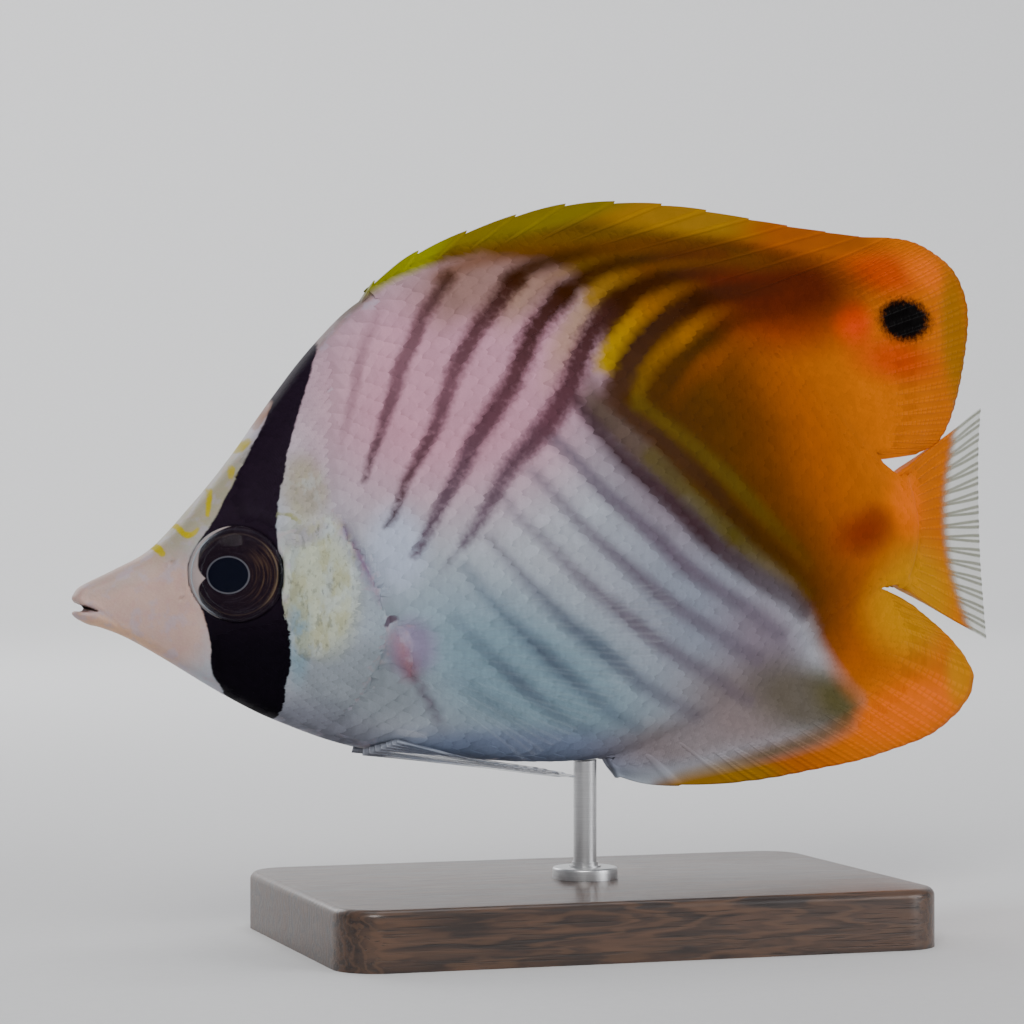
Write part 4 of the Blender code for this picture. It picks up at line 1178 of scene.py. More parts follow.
def build_skin():
    """Skin of head, body and tail base in one closed piece, with the mouth open in front."""
    stops = skin_stops()
    across = RING_ABOVE + RING_BELOW
    piece, station, ring = grid("skin", len(stops), 2 * across)
    sections = np.array([half_ring(s) for s in stops])
    right = ring < across
    index = np.where(right, ring, 2 * across - 1 - ring)
    y, z = sections[station, index].T
    share = np.clip((z - belly(133)) / (back(133) - belly(133)), 0, 1)
    s = np.array(stops)[station]
    s = s + CAUDAL_BOW * 4 * share * (1 - share) * ease((s - 114) / 16) - 2.0 * ease((s - 114) / 16)
    write(piece, place(s, np.where(right, y, -y), z))
    shaped = bmesh.new()
    shaped.from_mesh(piece.data)
    shaped.verts.ensure_lookup_table()
    seam = [f for f in shaped.faces if {int(index[v.index]) for v in f.verts} == {RING_ABOVE - 1, RING_ABOVE}]
    bmesh.ops.delete(shaped, geom=seam, context="FACES")
    last = len(stops) - 1
    end = [e for e in shaped.edges if all(station[v.index] == last for v in e.verts)]
    made = bmesh.ops.extrude_edge_only(shaped, edges=end)
    tip = [v for v in made["geom"] if isinstance(v, bmesh.types.BMVert)]
    for v in tip:
        body_s, _, body_z = unplace(np.array([v.co]))
        v.co = Vector(place(body_s[0] + 1.5, 0, body_z[0]))
    shaped.to_mesh(piece.data)
    shaped.free()
    face_out(piece)
    paint_by_place(piece)
    finish_piece(piece, "skin", skin_finish(), "head", "lower_jaw", "torso", "tail_base")


def scale_leaf():
    """One scale as a closed plate from a grid: along and across from -1 to 1, height 0 or 1, and its faces."""
    piece, column, row = grid("scale", 5, 4)
    lengthwise = row / 3
    sideways = column / 2 - 1
    rounded = lengthwise - 0.36 * sideways ** 2 * lengthwise ** 1.5 - 0.08 * (1 - lengthwise) * sideways ** 2
    narrow = sideways * (0.78 + 0.3 * np.sin(math.pi * np.clip(lengthwise * 0.9, 0, 1)) - 0.16 * lengthwise ** 3)
    write(piece, np.stack([rounded, narrow, np.zeros(len(row))], 1))
    apply_modifier(piece, "SOLIDIFY", thickness=1.0, offset=1.0)
    apply_modifier(piece, "TRIANGULATE")
    face_out(piece)
    points = read(piece)
    faces = np.array([tuple(f.vertices) for f in piece.data.polygons])
    bpy.data.objects.remove(piece)
    return points, faces


def lay_scales(name, side, roots, slot_material):
    """Joined scales over the side of the fish. Each root is s, z, heading, length, half width and lift."""
    leaf, faces = scale_leaf()
    sizes = bpy.context.scene.fish_sizes
    draws = np.random.default_rng(len(roots) + (side > 0))
    s0, z0, heading, length, half, lift = (roots[:, k, None] for k in range(6))
    count = len(roots)
    s0 = s0 + draws.normal(0, 0.035, (count, 1)) * length
    z0 = z0 + draws.normal(0, 0.03, (count, 1)) * length
    length = length * draws.uniform(0.94, 1.06, (count, 1))
    heading = heading + draws.normal(0, 0.035, (count, 1))
    a = (leaf[None, :, 0] * 1.75 - 0.75) * length
    b = leaf[None, :, 1] * half * draws.uniform(0.96, 1.04, (count, 1))
    step = 0.25
    slope_s = (cover(s0 + step, z0) - cover(s0 - step, z0)) / (2 * step)
    slope_z = (cover(s0, z0 + step) - cover(s0, z0 - step)) / (2 * step)
    slope_z = np.clip(slope_z, -STEEPEST[1], STEEPEST[1])
    slope_s = np.clip(slope_s, -STEEPEST[0], STEEPEST[0])
    run_s = 1 / np.sqrt(1 + slope_s ** 2)
    run_z = 1 / np.sqrt(1 + slope_z ** 2)
    s = s0 + (a * np.cos(heading) - b * np.sin(heading)) * run_s
    z = z0 + (a * np.sin(heading) + b * np.cos(heading)) * run_z
    on_flesh = (z0 < back(s0)) & (z0 > belly(s0)) & (s0 < CAUDAL_FOOT)
    bare_back = (s < DORSAL_FOOT[0] - 1) | (s > DORSAL_FOOT[1]) & (s < CAUDAL_FOOT)
    bare_belly = (s < ANAL_FOOT[0] - 1) | (s > ANAL_FOOT[1]) & (s < CAUDAL_FOOT)
    z = np.where(on_flesh & bare_back, np.minimum(z, back(s) - BENEATH_RIDGE), z)
    z = np.where(on_flesh & bare_belly, np.maximum(z, belly(s) + BENEATH_RIDGE), z)
    close = cover(s, z)
    flat = cover(s0, z0) + (s - s0) * slope_s + (z - z0) * slope_z
    flank = (s0[:, 0] > SCALED_FLANK[0]) & (s0[:, 0] < SCALED_FLANK[1])
    fits = np.abs(close - flat).max(1) < np.where(flank, FLANK_MISFIT, OTHER_MISFIT)
    if not fits.all():
        return lay_scales(name, side, roots[fits], slot_material)
    rise = np.maximum(leaf[None, :, 0], 0) ** 1.3 * sizes.scale_lift / MM * lift + 0.03
    rise = rise + leaf[None, :, 2] * sizes.scale_thickness / MM * (1.15 - 0.6 * leaf[None, :, 0])
    rise = rise + draws.uniform(0, 0.012, (count, 1))
    square = 1 / np.sqrt(1 + slope_s ** 2 + slope_z ** 2)
    points = place(s - rise * slope_s * square, side * (close + rise * square) + ripple(s, z),
                   z - rise * slope_z * square)
    shift = len(leaf) * np.arange(count)[:, None, None]
    corners = (faces[None] if side < 0 else faces[None, :, ::-1]) + shift
    piece = mesh_piece(name, points.reshape(-1, 3), corners.reshape(-1, 3))
    loops = corners.reshape(-1)
    add_uv(piece, "leaf", np.tile(leaf[:, :2] * (1, 0.5) + (0, 0.5), (count, 1))[loops])
    spread = np.stack([roots[:, 0] / 165, (roots[:, 1] + 48) / 98], 1)[:, None, :]
    patch = spread + (leaf[None, :, :2] - (0.5, 0)) * (0.0028, 0.0014)
    add_uv(piece, "OFBake", patch.reshape(-1, 2)[loops])
    paint(piece, lerp(s, s0 + 0.3 * length, 0.15).ravel(), lerp(z, z0, 0.15).ravel())
    layer = piece.data.attributes.new("fleck", "FLOAT", "POINT")
    layer.data.foreach_set("value", np.repeat(draws.uniform(-1, 1, count), len(leaf)))
    finish_piece(piece, "skin", slot_material)
    smooth_by_angle(piece, 30)


def add_uv(piece, name, corners):
    layer = piece.data.uv_layers.new(name=name)
    layer.data.foreach_set("uv", np.ascontiguousarray(corners, float).ravel())


def keep_body(s, z):
    """Where scales grow on head and body."""
    eye_s, eye_z = EYE_PLACE
    clear_of_eye = np.hypot(s - eye_s, z - eye_z) > EYE_RADIUS * 1.18
    clear_of_pad = from_pad(s, z) > 0.95
    on_body = (z < back(s) - 0.35) & (z > belly(s) + 0.35)
    return (s > along(SCALE_FRONT, z)) & clear_of_eye & clear_of_pad & on_body


def body_roots(first, last, length_at, row_at, keep):
    """Scale roots in staggered rows that follow the middle row, spaced over the curve of the flank."""
    columns = [first]
    while columns[-1] < last:
        columns.append(columns[-1] + float(length_at(columns[-1])) / 2)
    columns = np.array(columns)
    rows = np.arange(-70, 71)
    s_all = []
    z_all = []
    for column, s in enumerate(columns):
        z = np.linspace(belly(s) - 0.2, back(s) + 0.2, 300)
        width = skin_half(s, z)
        girth = np.concatenate([[0], np.cumsum(np.hypot(np.diff(width), np.diff(z)))])
        girth = girth - np.interp(along(MIDDLE_ROW, s), z, girth)
        wanted = rows[(rows + column) % 2 == 0] * float(row_at(s))
        wanted = wanted[(wanted > girth[0]) & (wanted < girth[-1])]
        z_all.append(np.interp(wanted, girth, z))
        s_all.append(np.full(len(wanted), s))
    s = np.concatenate(s_all)
    z = np.concatenate(z_all)
    kept = keep(s, z)
    s = s[kept]
    z = z[kept]
    lean = (along(MIDDLE_ROW, s + 2) - along(MIDDLE_ROW, s - 2)) / 4
    follow = np.where(z > along(MIDDLE_ROW, s), back(s + 2) - back(s - 2), belly(s + 2) - belly(s - 2)) / 4
    span = np.where(z > along(MIDDLE_ROW, s), back(s), belly(s)) - along(MIDDLE_ROW, s)
    share = np.clip((z - along(MIDDLE_ROW, s)) / span, 0, 1) ** 2
    heading = np.arctan(lerp(lean, follow, share * 0.75))
    length = length_at(s)
    return np.stack([s, z, heading, length, row_at(s) * 1.16, np.clip(length / 2.4, 0.5, 1)], 1)


def fin_roots(foot, edge, low, high, covered):
    """Scale roots in rows out over a middle fin, between two shares of its length."""
    fine = np.linspace(low, high, 1200)
    start = np.stack(foot(fine), 1)
    run = on_edge(edge, fine) - start
    reach = np.hypot(*run.T)
    out = run / reach[:, None]
    found = []
    for row in range(80):
        away = row * FIN_ROW - 0.6
        line = start + out * away
        steps = np.concatenate([[0], np.cumsum(np.hypot(*np.diff(line, axis=0).T))])
        at = np.arange(FIN_SCALE / 2 * (row % 2), steps[-1], FIN_SCALE)
        share = np.interp(at, steps, fine)
        limit = np.interp(share, fine, reach) * covered(share)
        kept = away < limit
        if not kept.any():
            break
        share = share[kept]
        centre = [np.interp(share, fine, line[:, axis]) for axis in range(2)]
        heading = np.arctan2(np.interp(share, fine, out[:, 1]), np.interp(share, fine, out[:, 0]) + 0.9)
        outwards = np.clip(away / np.maximum(limit[kept], 1), 0, 1)
        fade = 1 - 0.25 * outwards
        lift = 0.5 - 1.3 * ease((outwards - 0.55) / 0.45)
        found.append(np.stack([*centre, heading, FIN_SCALE * fade, FIN_ROW * 1.18 * fade, lift], 1))
    return np.vstack(found)


def dorsal_foot(share):
    s = lerp(*DORSAL_FOOT, share)
    return s, back(s)


def anal_foot(share):
    s = lerp(*ANAL_FOOT, share)
    return s, belly(s)


def caudal_foot(share):
    s = CAUDAL_FOOT + CAUDAL_BOW * 4 * share * (1 - share)
    return s, lerp(back(s), belly(s), share)


def build_scales():
    """Scales of the head, the body and the bases of the fins, on both sides."""
    finish = scale_finish()

    def body_length(s):
        return along(BODY_SCALE, s)

    def body_row(s):
        return ROW_STEP * along(ROW_SHRINK, s)

    body = body_roots(HEAD_LENGTH - 2.5, 132, body_length, body_row,
                      lambda s, z: keep_body(s, z) & (gill_edge(s, z) > 0.25))
    head = body_roots(18, HEAD_LENGTH + 7, lambda s: HEAD_SCALE + 0 * s, lambda s: HEAD_ROW + 0 * s,
                      lambda s, z: keep_body(s, z) & (gill_edge(s, z) < -0.9))
    dorsal = fin_roots(dorsal_foot, DORSAL_EDGE, 0, 0.97,
                       lambda share: np.interp(share, (0, 0.1, 0.35, 0.6, 0.9, 1), (0.1, 0.3, 0.5, 0.66, 0.66, 0.3)))
    anal = fin_roots(anal_foot, ANAL_EDGE, 0, 0.97,
                     lambda share: np.interp(share, (0, 0.15, 0.4, 0.85, 1), (0.3, 0.5, 0.7, 0.66, 0.3)))
    caudal = fin_roots(caudal_foot, CAUDAL_EDGE, 0.07, 0.93, lambda share: 0.26 + 0 * share)
    for side, label in SIDES:
        lay_scales("scales_body_" + label, side, body, finish)
        lay_scales("scales_head_" + label, side, head, finish)
        lay_scales("scales_dorsal_" + label, side, dorsal, finish)
        lay_scales("scales_anal_" + label, side, np.vstack([anal, caudal]), finish)


def on_ray(ray):
    """1 on a ray, 0 in the valley between two."""
    return 1 - 2 * np.abs(ray - np.round(ray))


def ray_ridge(ray, t, split_at):
    """Height of the branching rays over the membrane, 0 to 1."""
    off = np.abs(ray - np.round(ray))
    split = 0.2 * ease((t - split_at) / 0.5)
    return bump(off - split, 0.11)


def sheet(name, rays, per_ray, rows, centre, half, thickest, stiff=0):
    """Fin from a grid over ray number and share of the way out, thickened by a Solidify modifier. On its map the stiff
    rays in front are short, for they neither branch nor have joints."""
    columns = (rays - 1) * per_ray + 1
    piece, column, row = grid(name, columns, rows)
    ray = column / per_ray
    t = row / (rows - 1)
    write(piece, centre(ray, t))
    add_uv(piece, "rays", np.stack([ray, np.where(ray < stiff, 0.3, 1) * t], 1)[loop_corners(piece)])
    group = piece.vertex_groups.new(name="thickness")
    weights = np.clip(half(ray, t) / thickest, 0, 1)
    for k, weight in enumerate(weights):
        group.add([k], float(weight), "REPLACE")
    apply_modifier(piece, "SOLIDIFY", thickness=2 * thickest * MM, offset=0.0, vertex_group="thickness",
                   use_even_offset=False)
    piece.vertex_groups.clear()
    face_out(piece, merge=False)
    return piece


def loop_corners(piece):
    corners = np.empty(len(piece.data.loops), np.int32)
    piece.data.loops.foreach_get("vertex_index", corners)
    return corners


def middle_fin(name, foot, edge, rays, spines, spiny_share, per_ray, rows, sink, finish, *replaced):
    """Fin in the middle plane, with spines in front and branching rays behind."""
    sizes = bpy.context.scene.fish_sizes
    thickest = RIDGE_HALF + sizes.spine_rise / MM

    def ends(ray, t):
        share = np.interp(ray, (0, spines - 1, rays - 1), (0, spiny_share, 1)) if spines else ray / (rays - 1)
        a = np.stack(foot(share), -1)
        b = on_edge(edge, share)
        reach = np.hypot(*(b - a).T)
        spiny = ray < spines - 0.98
        behind = ray - np.floor(ray)
        deepest = SPINE_NOTCH * min(1, spines / 8) * (1 - 0.8 * ray / max(spines - 1, 1))
        tooth = deepest * (1 - behind) ** 1.5 * (behind > 0.01)
        notch = np.where(spiny, tooth, 0.16 * (1 - on_ray(ray)))
        t = lerp(-sink / reach, 1 - notch / reach, t)
        return a + (b - a) * t[:, None], spiny

    def centre(ray, t):
        at, _ = ends(ray, t)
        return place(at[:, 0], ripple(*at.T), at[:, 1])

    def half(ray, t):
        at, spiny = ends(ray, t)
        body = np.minimum(fin_half(fin_out(*at.T)), RIDGE_HALF - 0.25) * (1 - 0.55 * ease((t - 0.6) / 0.4))
        soft = sizes.ray_rise / MM * ray_ridge(ray, t, 0.3) * ease(3 * t)
        stiff = sizes.spine_rise / MM * bump(ray - np.round(ray), 0.09) * ease(2.5 * t) * (1 - 0.75 * t)
        return body + np.where(spiny, stiff, soft)

    piece = sheet(name, rays, per_ray, rows, centre, half, thickest, spines - 0.98)
    paint_by_place(piece)
    finish_piece(piece, "fin", finish, *replaced)


def build_middle_fins():
    finish = fin_finish()
    middle_fin("dorsal_fin", dorsal_foot, DORSAL_EDGE, DORSAL_RAYS, DORSAL_SPINES, DORSAL_SPINY, 14, 36, 1.6, finish,
               "dorsal_fin_spiny", "dorsal_fin_soft")
    middle_fin("anal_fin_rays", anal_foot, ANAL_EDGE, ANAL_RAYS, ANAL_SPINES, ANAL_SPINY, 14, 32, 1.6, finish,
               "anal_fin")
    middle_fin("tail_fin", caudal_foot, CAUDAL_EDGE, CAUDAL_RAYS, 0, 0, 14, 34, 2.0, finish, "caudal_fin")


def beside(s, z, off):
    """Point off the right flank, square to its surface, as arrays of s, y and z."""
    step = 0.4
    along_body = (half_width(s + step, z) - half_width(s - step, z)) / (2 * step)
    up_body = (half_width(s, z + step) - half_width(s, z - step)) / (2 * step)
    square = np.stack([-along_body, np.ones_like(s), -up_body], -1)
    square /= np.linalg.norm(square, axis=-1, keepdims=True)
    return np.stack([s, half_width(s, z), z], -1) + square * np.asarray(off)[..., None]


def foot_of(foot, share):
    return lerp(foot[0][0], foot[1][0], share), lerp(foot[0][1], foot[1][1], share)


def pectoral_path(share, t):
    s, z = foot_of(PECTORAL_FOOT, share)
    tip = on_edge(PECTORAL_EDGE, share)
    off = GAP + PECTORAL_ROOT_HALF + PECTORAL_SPREAD * np.maximum(t, 0) ** 1.3
    return beside(lerp(s, tip[:, 0], t), lerp(z, tip[:, 1], t), off)


def pelvic_path(share, t):
    s, z = foot_of(PELVIC_FOOT, share)
    root = beside(s, z, np.full_like(s, GAP + PELVIC_ROOT_HALF))
    return root + (on_edge(PELVIC_EDGE, share) - root) * t[:, None]


def build_paired_fins():
    """Pectoral and pelvic fins on both sides."""
    finish = clear_finish()
    for side, label in SIDES:
        for kind, path, rays, root_half, solid in (("pectoral", pectoral_path, PECTORAL_RAYS, 0.55, 0.11),
                                                   ("pelvic", pelvic_path, PELVIC_RAYS, 0.4, 1.4)):

            def centre(ray, t):
                s, y, z = path(ray / (rays - 1), t * (1 - 0.012 * (1 - on_ray(ray)))).T
                return place(s, side * y, z)

            def half(ray, t):
                return 0.09 + (root_half - 0.09) * (1 - t) ** 3 + 0.09 * ray_ridge(ray, t, 0.25) * (1 - 0.6 * t)

            piece = sheet(kind + "_" + label, rays, 10, 30, centre, half, 0.75)
            paint_by_place(piece)
            layer = piece.data.attributes.new("solid", "FLOAT", "POINT")
            layer.data.foreach_set("value", np.full(len(piece.data.vertices), solid))
            finish_piece(piece, "clear_fin", finish, kind + "_fin_" + label)


def eye_frame(side):
    """World centre of an eye, and its axes forward along the head, outwards and up."""
    s, z = EYE_PLACE
    rise = half_width(s + EYE_RADIUS, z) - half_width(s - EYE_RADIUS, z)
    tilt = math.atan2(rise, 2 * EYE_RADIUS)
    out = EYE_PROUD - EYE_DEPTH
    centre = place(s - out * math.sin(tilt), side * (half_width(s, z) + out * math.cos(tilt)), z)
    outward = np.array((-math.sin(tilt), side * math.cos(tilt), 0))
    rearward = np.array((math.cos(tilt), side * math.sin(tilt), 0))
    return centre, rearward, outward


def eye_ball(name, side, radius, depth):
    """Lens-shaped ball in the socket, with a map of its face in millimetres from the middle."""
    deselect()
    bpy.ops.mesh.primitive_uv_sphere_add(segments=72, ring_count=48, radius=1)
    piece = bpy.context.object
    piece.name = name
    ball = read(piece)
    face = ball[:, :2] * radius
    centre, rearward, outward = eye_frame(side)
    up = np.array((0, 0, 1))
    points = (face[:, :1] * rearward + face[:, 1:] * up + ball[:, 2:] * depth * outward) * MM
    write(piece, centre + points)
    for layer in list(piece.data.uv_layers):
        piece.data.uv_layers.remove(layer)
    add_uv(piece, "face", face[loop_corners(piece)])
    face_out(piece)
    return piece


def iris_finish():
    """Blue-black pupil in a silver ring, brown-black iris with gold arcs behind and a white notch in front."""
    finish = Finish("eye_iris", specular_ior_level=0.02)
    x, y, _ = finish.parts(finish.node("ShaderNodeUVMap", uv_map="face"))
    px = (x - PUPIL[0]) / PUPIL_RADII[0]
    py = (y - PUPIL[1]) / PUPIL_RADII[1]
    pupil = (px * px + py * py).maths("SQRT")
    away = (x * x + y * y).maths("SQRT")
    around = py.maths("ARCTAN2", px)
    spokes = finish.node("ShaderNodeCombineXYZ", {0: around * 9, 1: pupil * 1.5, 2: 0.0})
    fibre = finish.noise(spokes, 2.2, 3)
    arcs_at = finish.node("ShaderNodeCombineXYZ", {0: around * 0.8, 1: pupil * 7, 2: 0.0})
    arcs = finish.noise(arcs_at, 1.3, 3)
    behind = x.smooth(0.2, 3.6) * (1 - away.smooth(5.35, 5.9)) * (1 - y.maths("ABSOLUTE").smooth(2.4, 4.8))
    tone = finish.mix((0.009, 0.005, 0.010), (0.019, 0.011, 0.016), fibre.smooth(0.35, 0.75))
    tone = finish.mix(tone, (0.050, 0.028, 0.020), arcs.smooth(0.45, 0.64) * behind)
    tone = finish.mix(tone, (0.10, 0.066, 0.04), arcs.smooth(0.62, 0.72) * behind * x.smooth(2.2, 4.4))
    tone = finish.mix(tone, (0.036, 0.028, 0.040), arcs.smooth(0.55, 0.62) * 0.25 * (1 - behind))
    rear_line = 1 - (away - 5.35).maths("ABSOLUTE").smooth(0.03, 0.13)
    tone = finish.mix(tone, (0.17, 0.12, 0.07), rear_line * (0.12 + 0.6 * behind))
    high = y * y * y * y
    bay = (1 - (y + 0.5).maths("ABSOLUTE") / 1.8).maths("MAXIMUM", 0.0)
    white = (high * 0.0026 + bay * bay * 1 - 5.1 - x).smooth(-0.14, 0.14)
    tone = finish.mix(tone, (0.42, 0.34, 0.33), white)
    tone = finish.mix(tone, (0.003, 0.003, 0.004), (x - 5.25 - high * 0.002).smooth(0.0, 0.4))
    ring = 1 - (pupil - 1.0).maths("ABSOLUTE").smooth(0.02, 0.055)
    tone = finish.mix(tone, (0.004, 0.005, 0.012), 1 - pupil.smooth(0.98, 1.0))
    tone = finish.mix(tone, (0.13, 0.13, 0.155), ring * (0.5 + 0.5 * fibre))
    finish.set(base_color=tone, roughness=0.55 - ring * 0.15)
    finish.raise_by(fibre * pupil.smooth(1.0, 1.2), 0.04)
    return finish.material


def cornea_finish():
    """Clear wet cornea: reflects at a slant, and a bluish white ring painted at its rim, strongest at the front, stands
    in for the reflection along its edge.
    """
    finish = Finish("eye_cornea", specular_ior_level=0.3, roughness=0.12)
    x, y, _ = finish.parts(finish.node("ShaderNodeUVMap", uv_map="face"))
    away = (x * x + y * y).maths("SQRT")
    front = (0 - x).smooth(1.0, 5.0)
    # Painted reflection: the rim ring and the front haze are bluish white paint where the cornea's edge reflects
    rim = 1 - (away - 5.95).maths("ABSOLUTE").smooth(0.04, 0.16)
    inner = 1 - (away - 4.9 - x * 0.06).maths("ABSOLUTE").smooth(0.03, 0.09)
    haze = away.smooth(5.0, 6.3) * front * 0.22
    finish.set(base_color=finish.mix((0.12, 0.13, 0.17), (0.40, 0.45, 0.50), front))
    glass = finish.node("ShaderNodeBsdfTransparent")
    gloss = finish.node("ShaderNodeBsdfGlossy", {"Roughness": 0.02})
    shine = finish.node("ShaderNodeFresnel", {"IOR": 1.09})
    wet = finish.node("ShaderNodeMixShader", {0: shine, 1: glass, 2: gloss})
    body = Value(finish, finish.shader.outputs[0])
    share = haze + rim * (0.08 + front * 0.4) + inner * 0.07
    full = finish.node("ShaderNodeMixShader", {0: share, 1: wet, 2: body})
    finish.tree.links.new(full.socket, finish.tree.nodes["Material Output"].inputs["Surface"])
    return finish.material


def build_eyes():
    """Iris and pupil as a ball in each socket, under a clear cornea."""
    iris = iris_finish()
    cornea = cornea_finish()
    for side, label in SIDES:
        ball = eye_ball("iris_" + label, side, CORNEA_RADIUS - 0.12, EYE_DEPTH - 0.55)
        finish_piece(ball, "eye", iris, "eye_" + label)
        shell = eye_ball("cornea_" + label, side, CORNEA_RADIUS, EYE_DEPTH)
        finish_piece(shell, "eye", cornea)


def select_where(test):
    """In edit mode, selects just the faces whose centre and normal pass a test."""
    shaped = bmesh.from_edit_mesh(bpy.context.object.data)
    for face in shaped.faces:
        face.select_set(bool(test(face.calc_center_median(), face.normal)))
    bmesh.update_edit_mesh(bpy.context.object.data)


def bevel_edges(test, width, segments):
    """In edit mode, rounds the edges whose two ends pass a test."""
    shaped = bmesh.from_edit_mesh(bpy.context.object.data)
    bpy.ops.mesh.select_all(action="DESELECT")
    bpy.ops.mesh.select_mode(type="EDGE")
    for edge in shaped.edges:
        edge.select_set(bool(test(*(v.co for v in edge.verts))))
    bmesh.update_edit_mesh(bpy.context.object.data)
    bpy.ops.mesh.bevel(offset=width, segments=segments, affect="EDGES")


def wood_finish():
    """Dark stained hardwood under satin varnish, its grain along the base."""
    finish = Finish("base_wood", coat_weight=0.45, coat_roughness=0.2)
    at = finish.place((0.02, 0.16, 0.16))
    warp = finish.noise(at, 1.6, 3, output="Color")
    bent = finish.node("ShaderNodeVectorMath", {0: warp, 1: (1.6, 1.6, 1.6), 2: at}, operation="MULTIPLY_ADD")
    grain = finish.noise(bent, 3.2, 6)
    lines = finish.node("ShaderNodeTexWave", {"Vector": bent, "Scale": 1.4, "Distortion": 3.0, "Detail": 3.0},
                        output="Fac", bands_direction="Y")
    pores = finish.noise(finish.place((0.05, 1.6, 1.6)), 2.4, 2).smooth(0.56, 0.72)
    tone = finish.mix((0.016, 0.007, 0.004), (0.075, 0.034, 0.016), grain.smooth(0.3, 0.7))
    tone = finish.mix(tone, (0.11, 0.052, 0.024), lines.smooth(0.5, 1.0) * 0.5)
    tone = finish.mix(tone, (0.008, 0.004, 0.003), pores * 0.7)
    finish.set(base_color=tone, roughness=0.36 + grain * 0.2)
    finish.raise_by(lines * 0.3 - pores * 0.8 + grain * 0.3, 0.06)
    return finish.material


def steel_finish():
    """Satin steel, turned: fine rings round the rod."""
    finish = Finish("rod_steel", coat_weight=0.0)
    rings = finish.noise(finish.place((0.15, 0.15, 9.0)), 1.0, 3)
    smear = finish.noise(finish.place((0.4, 0.4, 0.2)), 1.0, 2)
    tone = finish.mix((0.42, 0.42, 0.43), (0.66, 0.66, 0.66), rings)
    finish.set(base_color=tone, roughness=0.22 + rings * 0.14 + smear * 0.1, metallic=0.96 + 0.04 * rings)
    finish.raise_by(rings, 0.012)
    return finish.material


def build_stand():
    """Wooden base with rounded corners, and the turned rod whose tip follows the belly."""
    length, width, height = (v * MM for v in BASE_SIZE)
    deselect()
    bpy.ops.mesh.primitive_cube_add(size=1, location=(0, 0, height / 2), scale=(length, width, height))
    base = bpy.context.object
    base.name = "base"
    bpy.ops.object.transform_apply(location=True, rotation=True, scale=True)
    bpy.ops.object.mode_set(mode="EDIT")
    bevel_edges(lambda a, b: abs(a.z - b.z) > height / 2, BASE_CORNER * MM, 12)
    bevel_edges(lambda a, b: min(a.z, b.z) > height * 0.99, 1.1 * MM, 5)
    bpy.ops.object.mode_set(mode="OBJECT")
    finish_piece(base, "base", wood_finish(), "stand_base")
    smooth_by_angle(base, 32)

    foot = (BASE_SIZE[2] + 0.02) * MM
    shoulder = foot + ROD_FLANGE_HEIGHT * MM
    deselect()
    bpy.ops.mesh.primitive_cylinder_add(vertices=56, radius=ROD_FLANGE_RADIUS * MM,
                                        depth=ROD_FLANGE_HEIGHT * MM, location=(0, 0, (foot + shoulder) / 2))
    rod = bpy.context.object
    rod.name = "rod"
    bpy.ops.object.transform_apply(location=True, rotation=True, scale=True)
    bpy.ops.object.mode_set(mode="EDIT")
    select_where(lambda c, n: n.z > 0.99)
    bpy.ops.mesh.inset(thickness=(ROD_FLANGE_RADIUS - ROD_RADIUS - 0.6) * MM)
    bpy.ops.mesh.extrude_region_move(TRANSFORM_OT_translate={"value": (0, 0, 0.2 * MM)})
    bpy.ops.mesh.inset(thickness=0.4 * MM)
    bpy.ops.mesh.extrude_region_move(TRANSFORM_OT_translate={"value": (0, 0, 0.5 * MM)})
    bpy.ops.mesh.inset(thickness=0.2 * MM)
    top = (AXIS_HEIGHT + float(belly(ROD_PLACE)) - 0.1) * MM
    for _ in range(4):
        bpy.ops.mesh.extrude_region_move(TRANSFORM_OT_translate={"value": (0, 0, (top - shoulder - 0.7 * MM) / 4)})
    bevel_edges(lambda a, b: abs(a.z - shoulder) < 1e-6 and abs(b.z - shoulder) < 1e-6
                and min(a.xy.length, b.xy.length) > (ROD_FLANGE_RADIUS - 0.1) * MM, 0.35 * MM, 4)
    bpy.ops.object.mode_set(mode="OBJECT")
    points = read(rod)
    tip = points[:, 2] > top - 0.05 * MM
    s, _, _ = unplace(points[tip])
    points[tip, 2] = (AXIS_HEIGHT + belly(s) - 0.1) * MM
    write(rod, points)
    finish_piece(rod, "rod", steel_finish(), "stand_rod")
    smooth_by_angle(rod, 32)


def floor_finish():
    """Matt pale paper with a very fine tooth."""
    finish = Finish("floor_paper", coat_weight=0.0, roughness=0.85)
    tooth = finish.noise(finish.place(), 0.5, 4)
    finish.set(base_color=finish.mix((0.62, 0.62, 0.625), (0.66, 0.66, 0.665), tooth))
    finish.raise_by(tooth, 0.05)
    return finish.material


def area_light(name, place_at, aim, wide, power, colour):
    deselect()
    bpy.ops.object.light_add(type="AREA", location=place_at)
    lamp = bpy.context.object
    lamp.name = name
    lamp.data.shape = "DISK"
    lamp.data.size = wide
    lamp.data.energy = power
    lamp.data.color = colour
    lamp.rotation_euler = (Vector(aim) - Vector(place_at)).to_track_quat("-Z", "Y").to_euler()


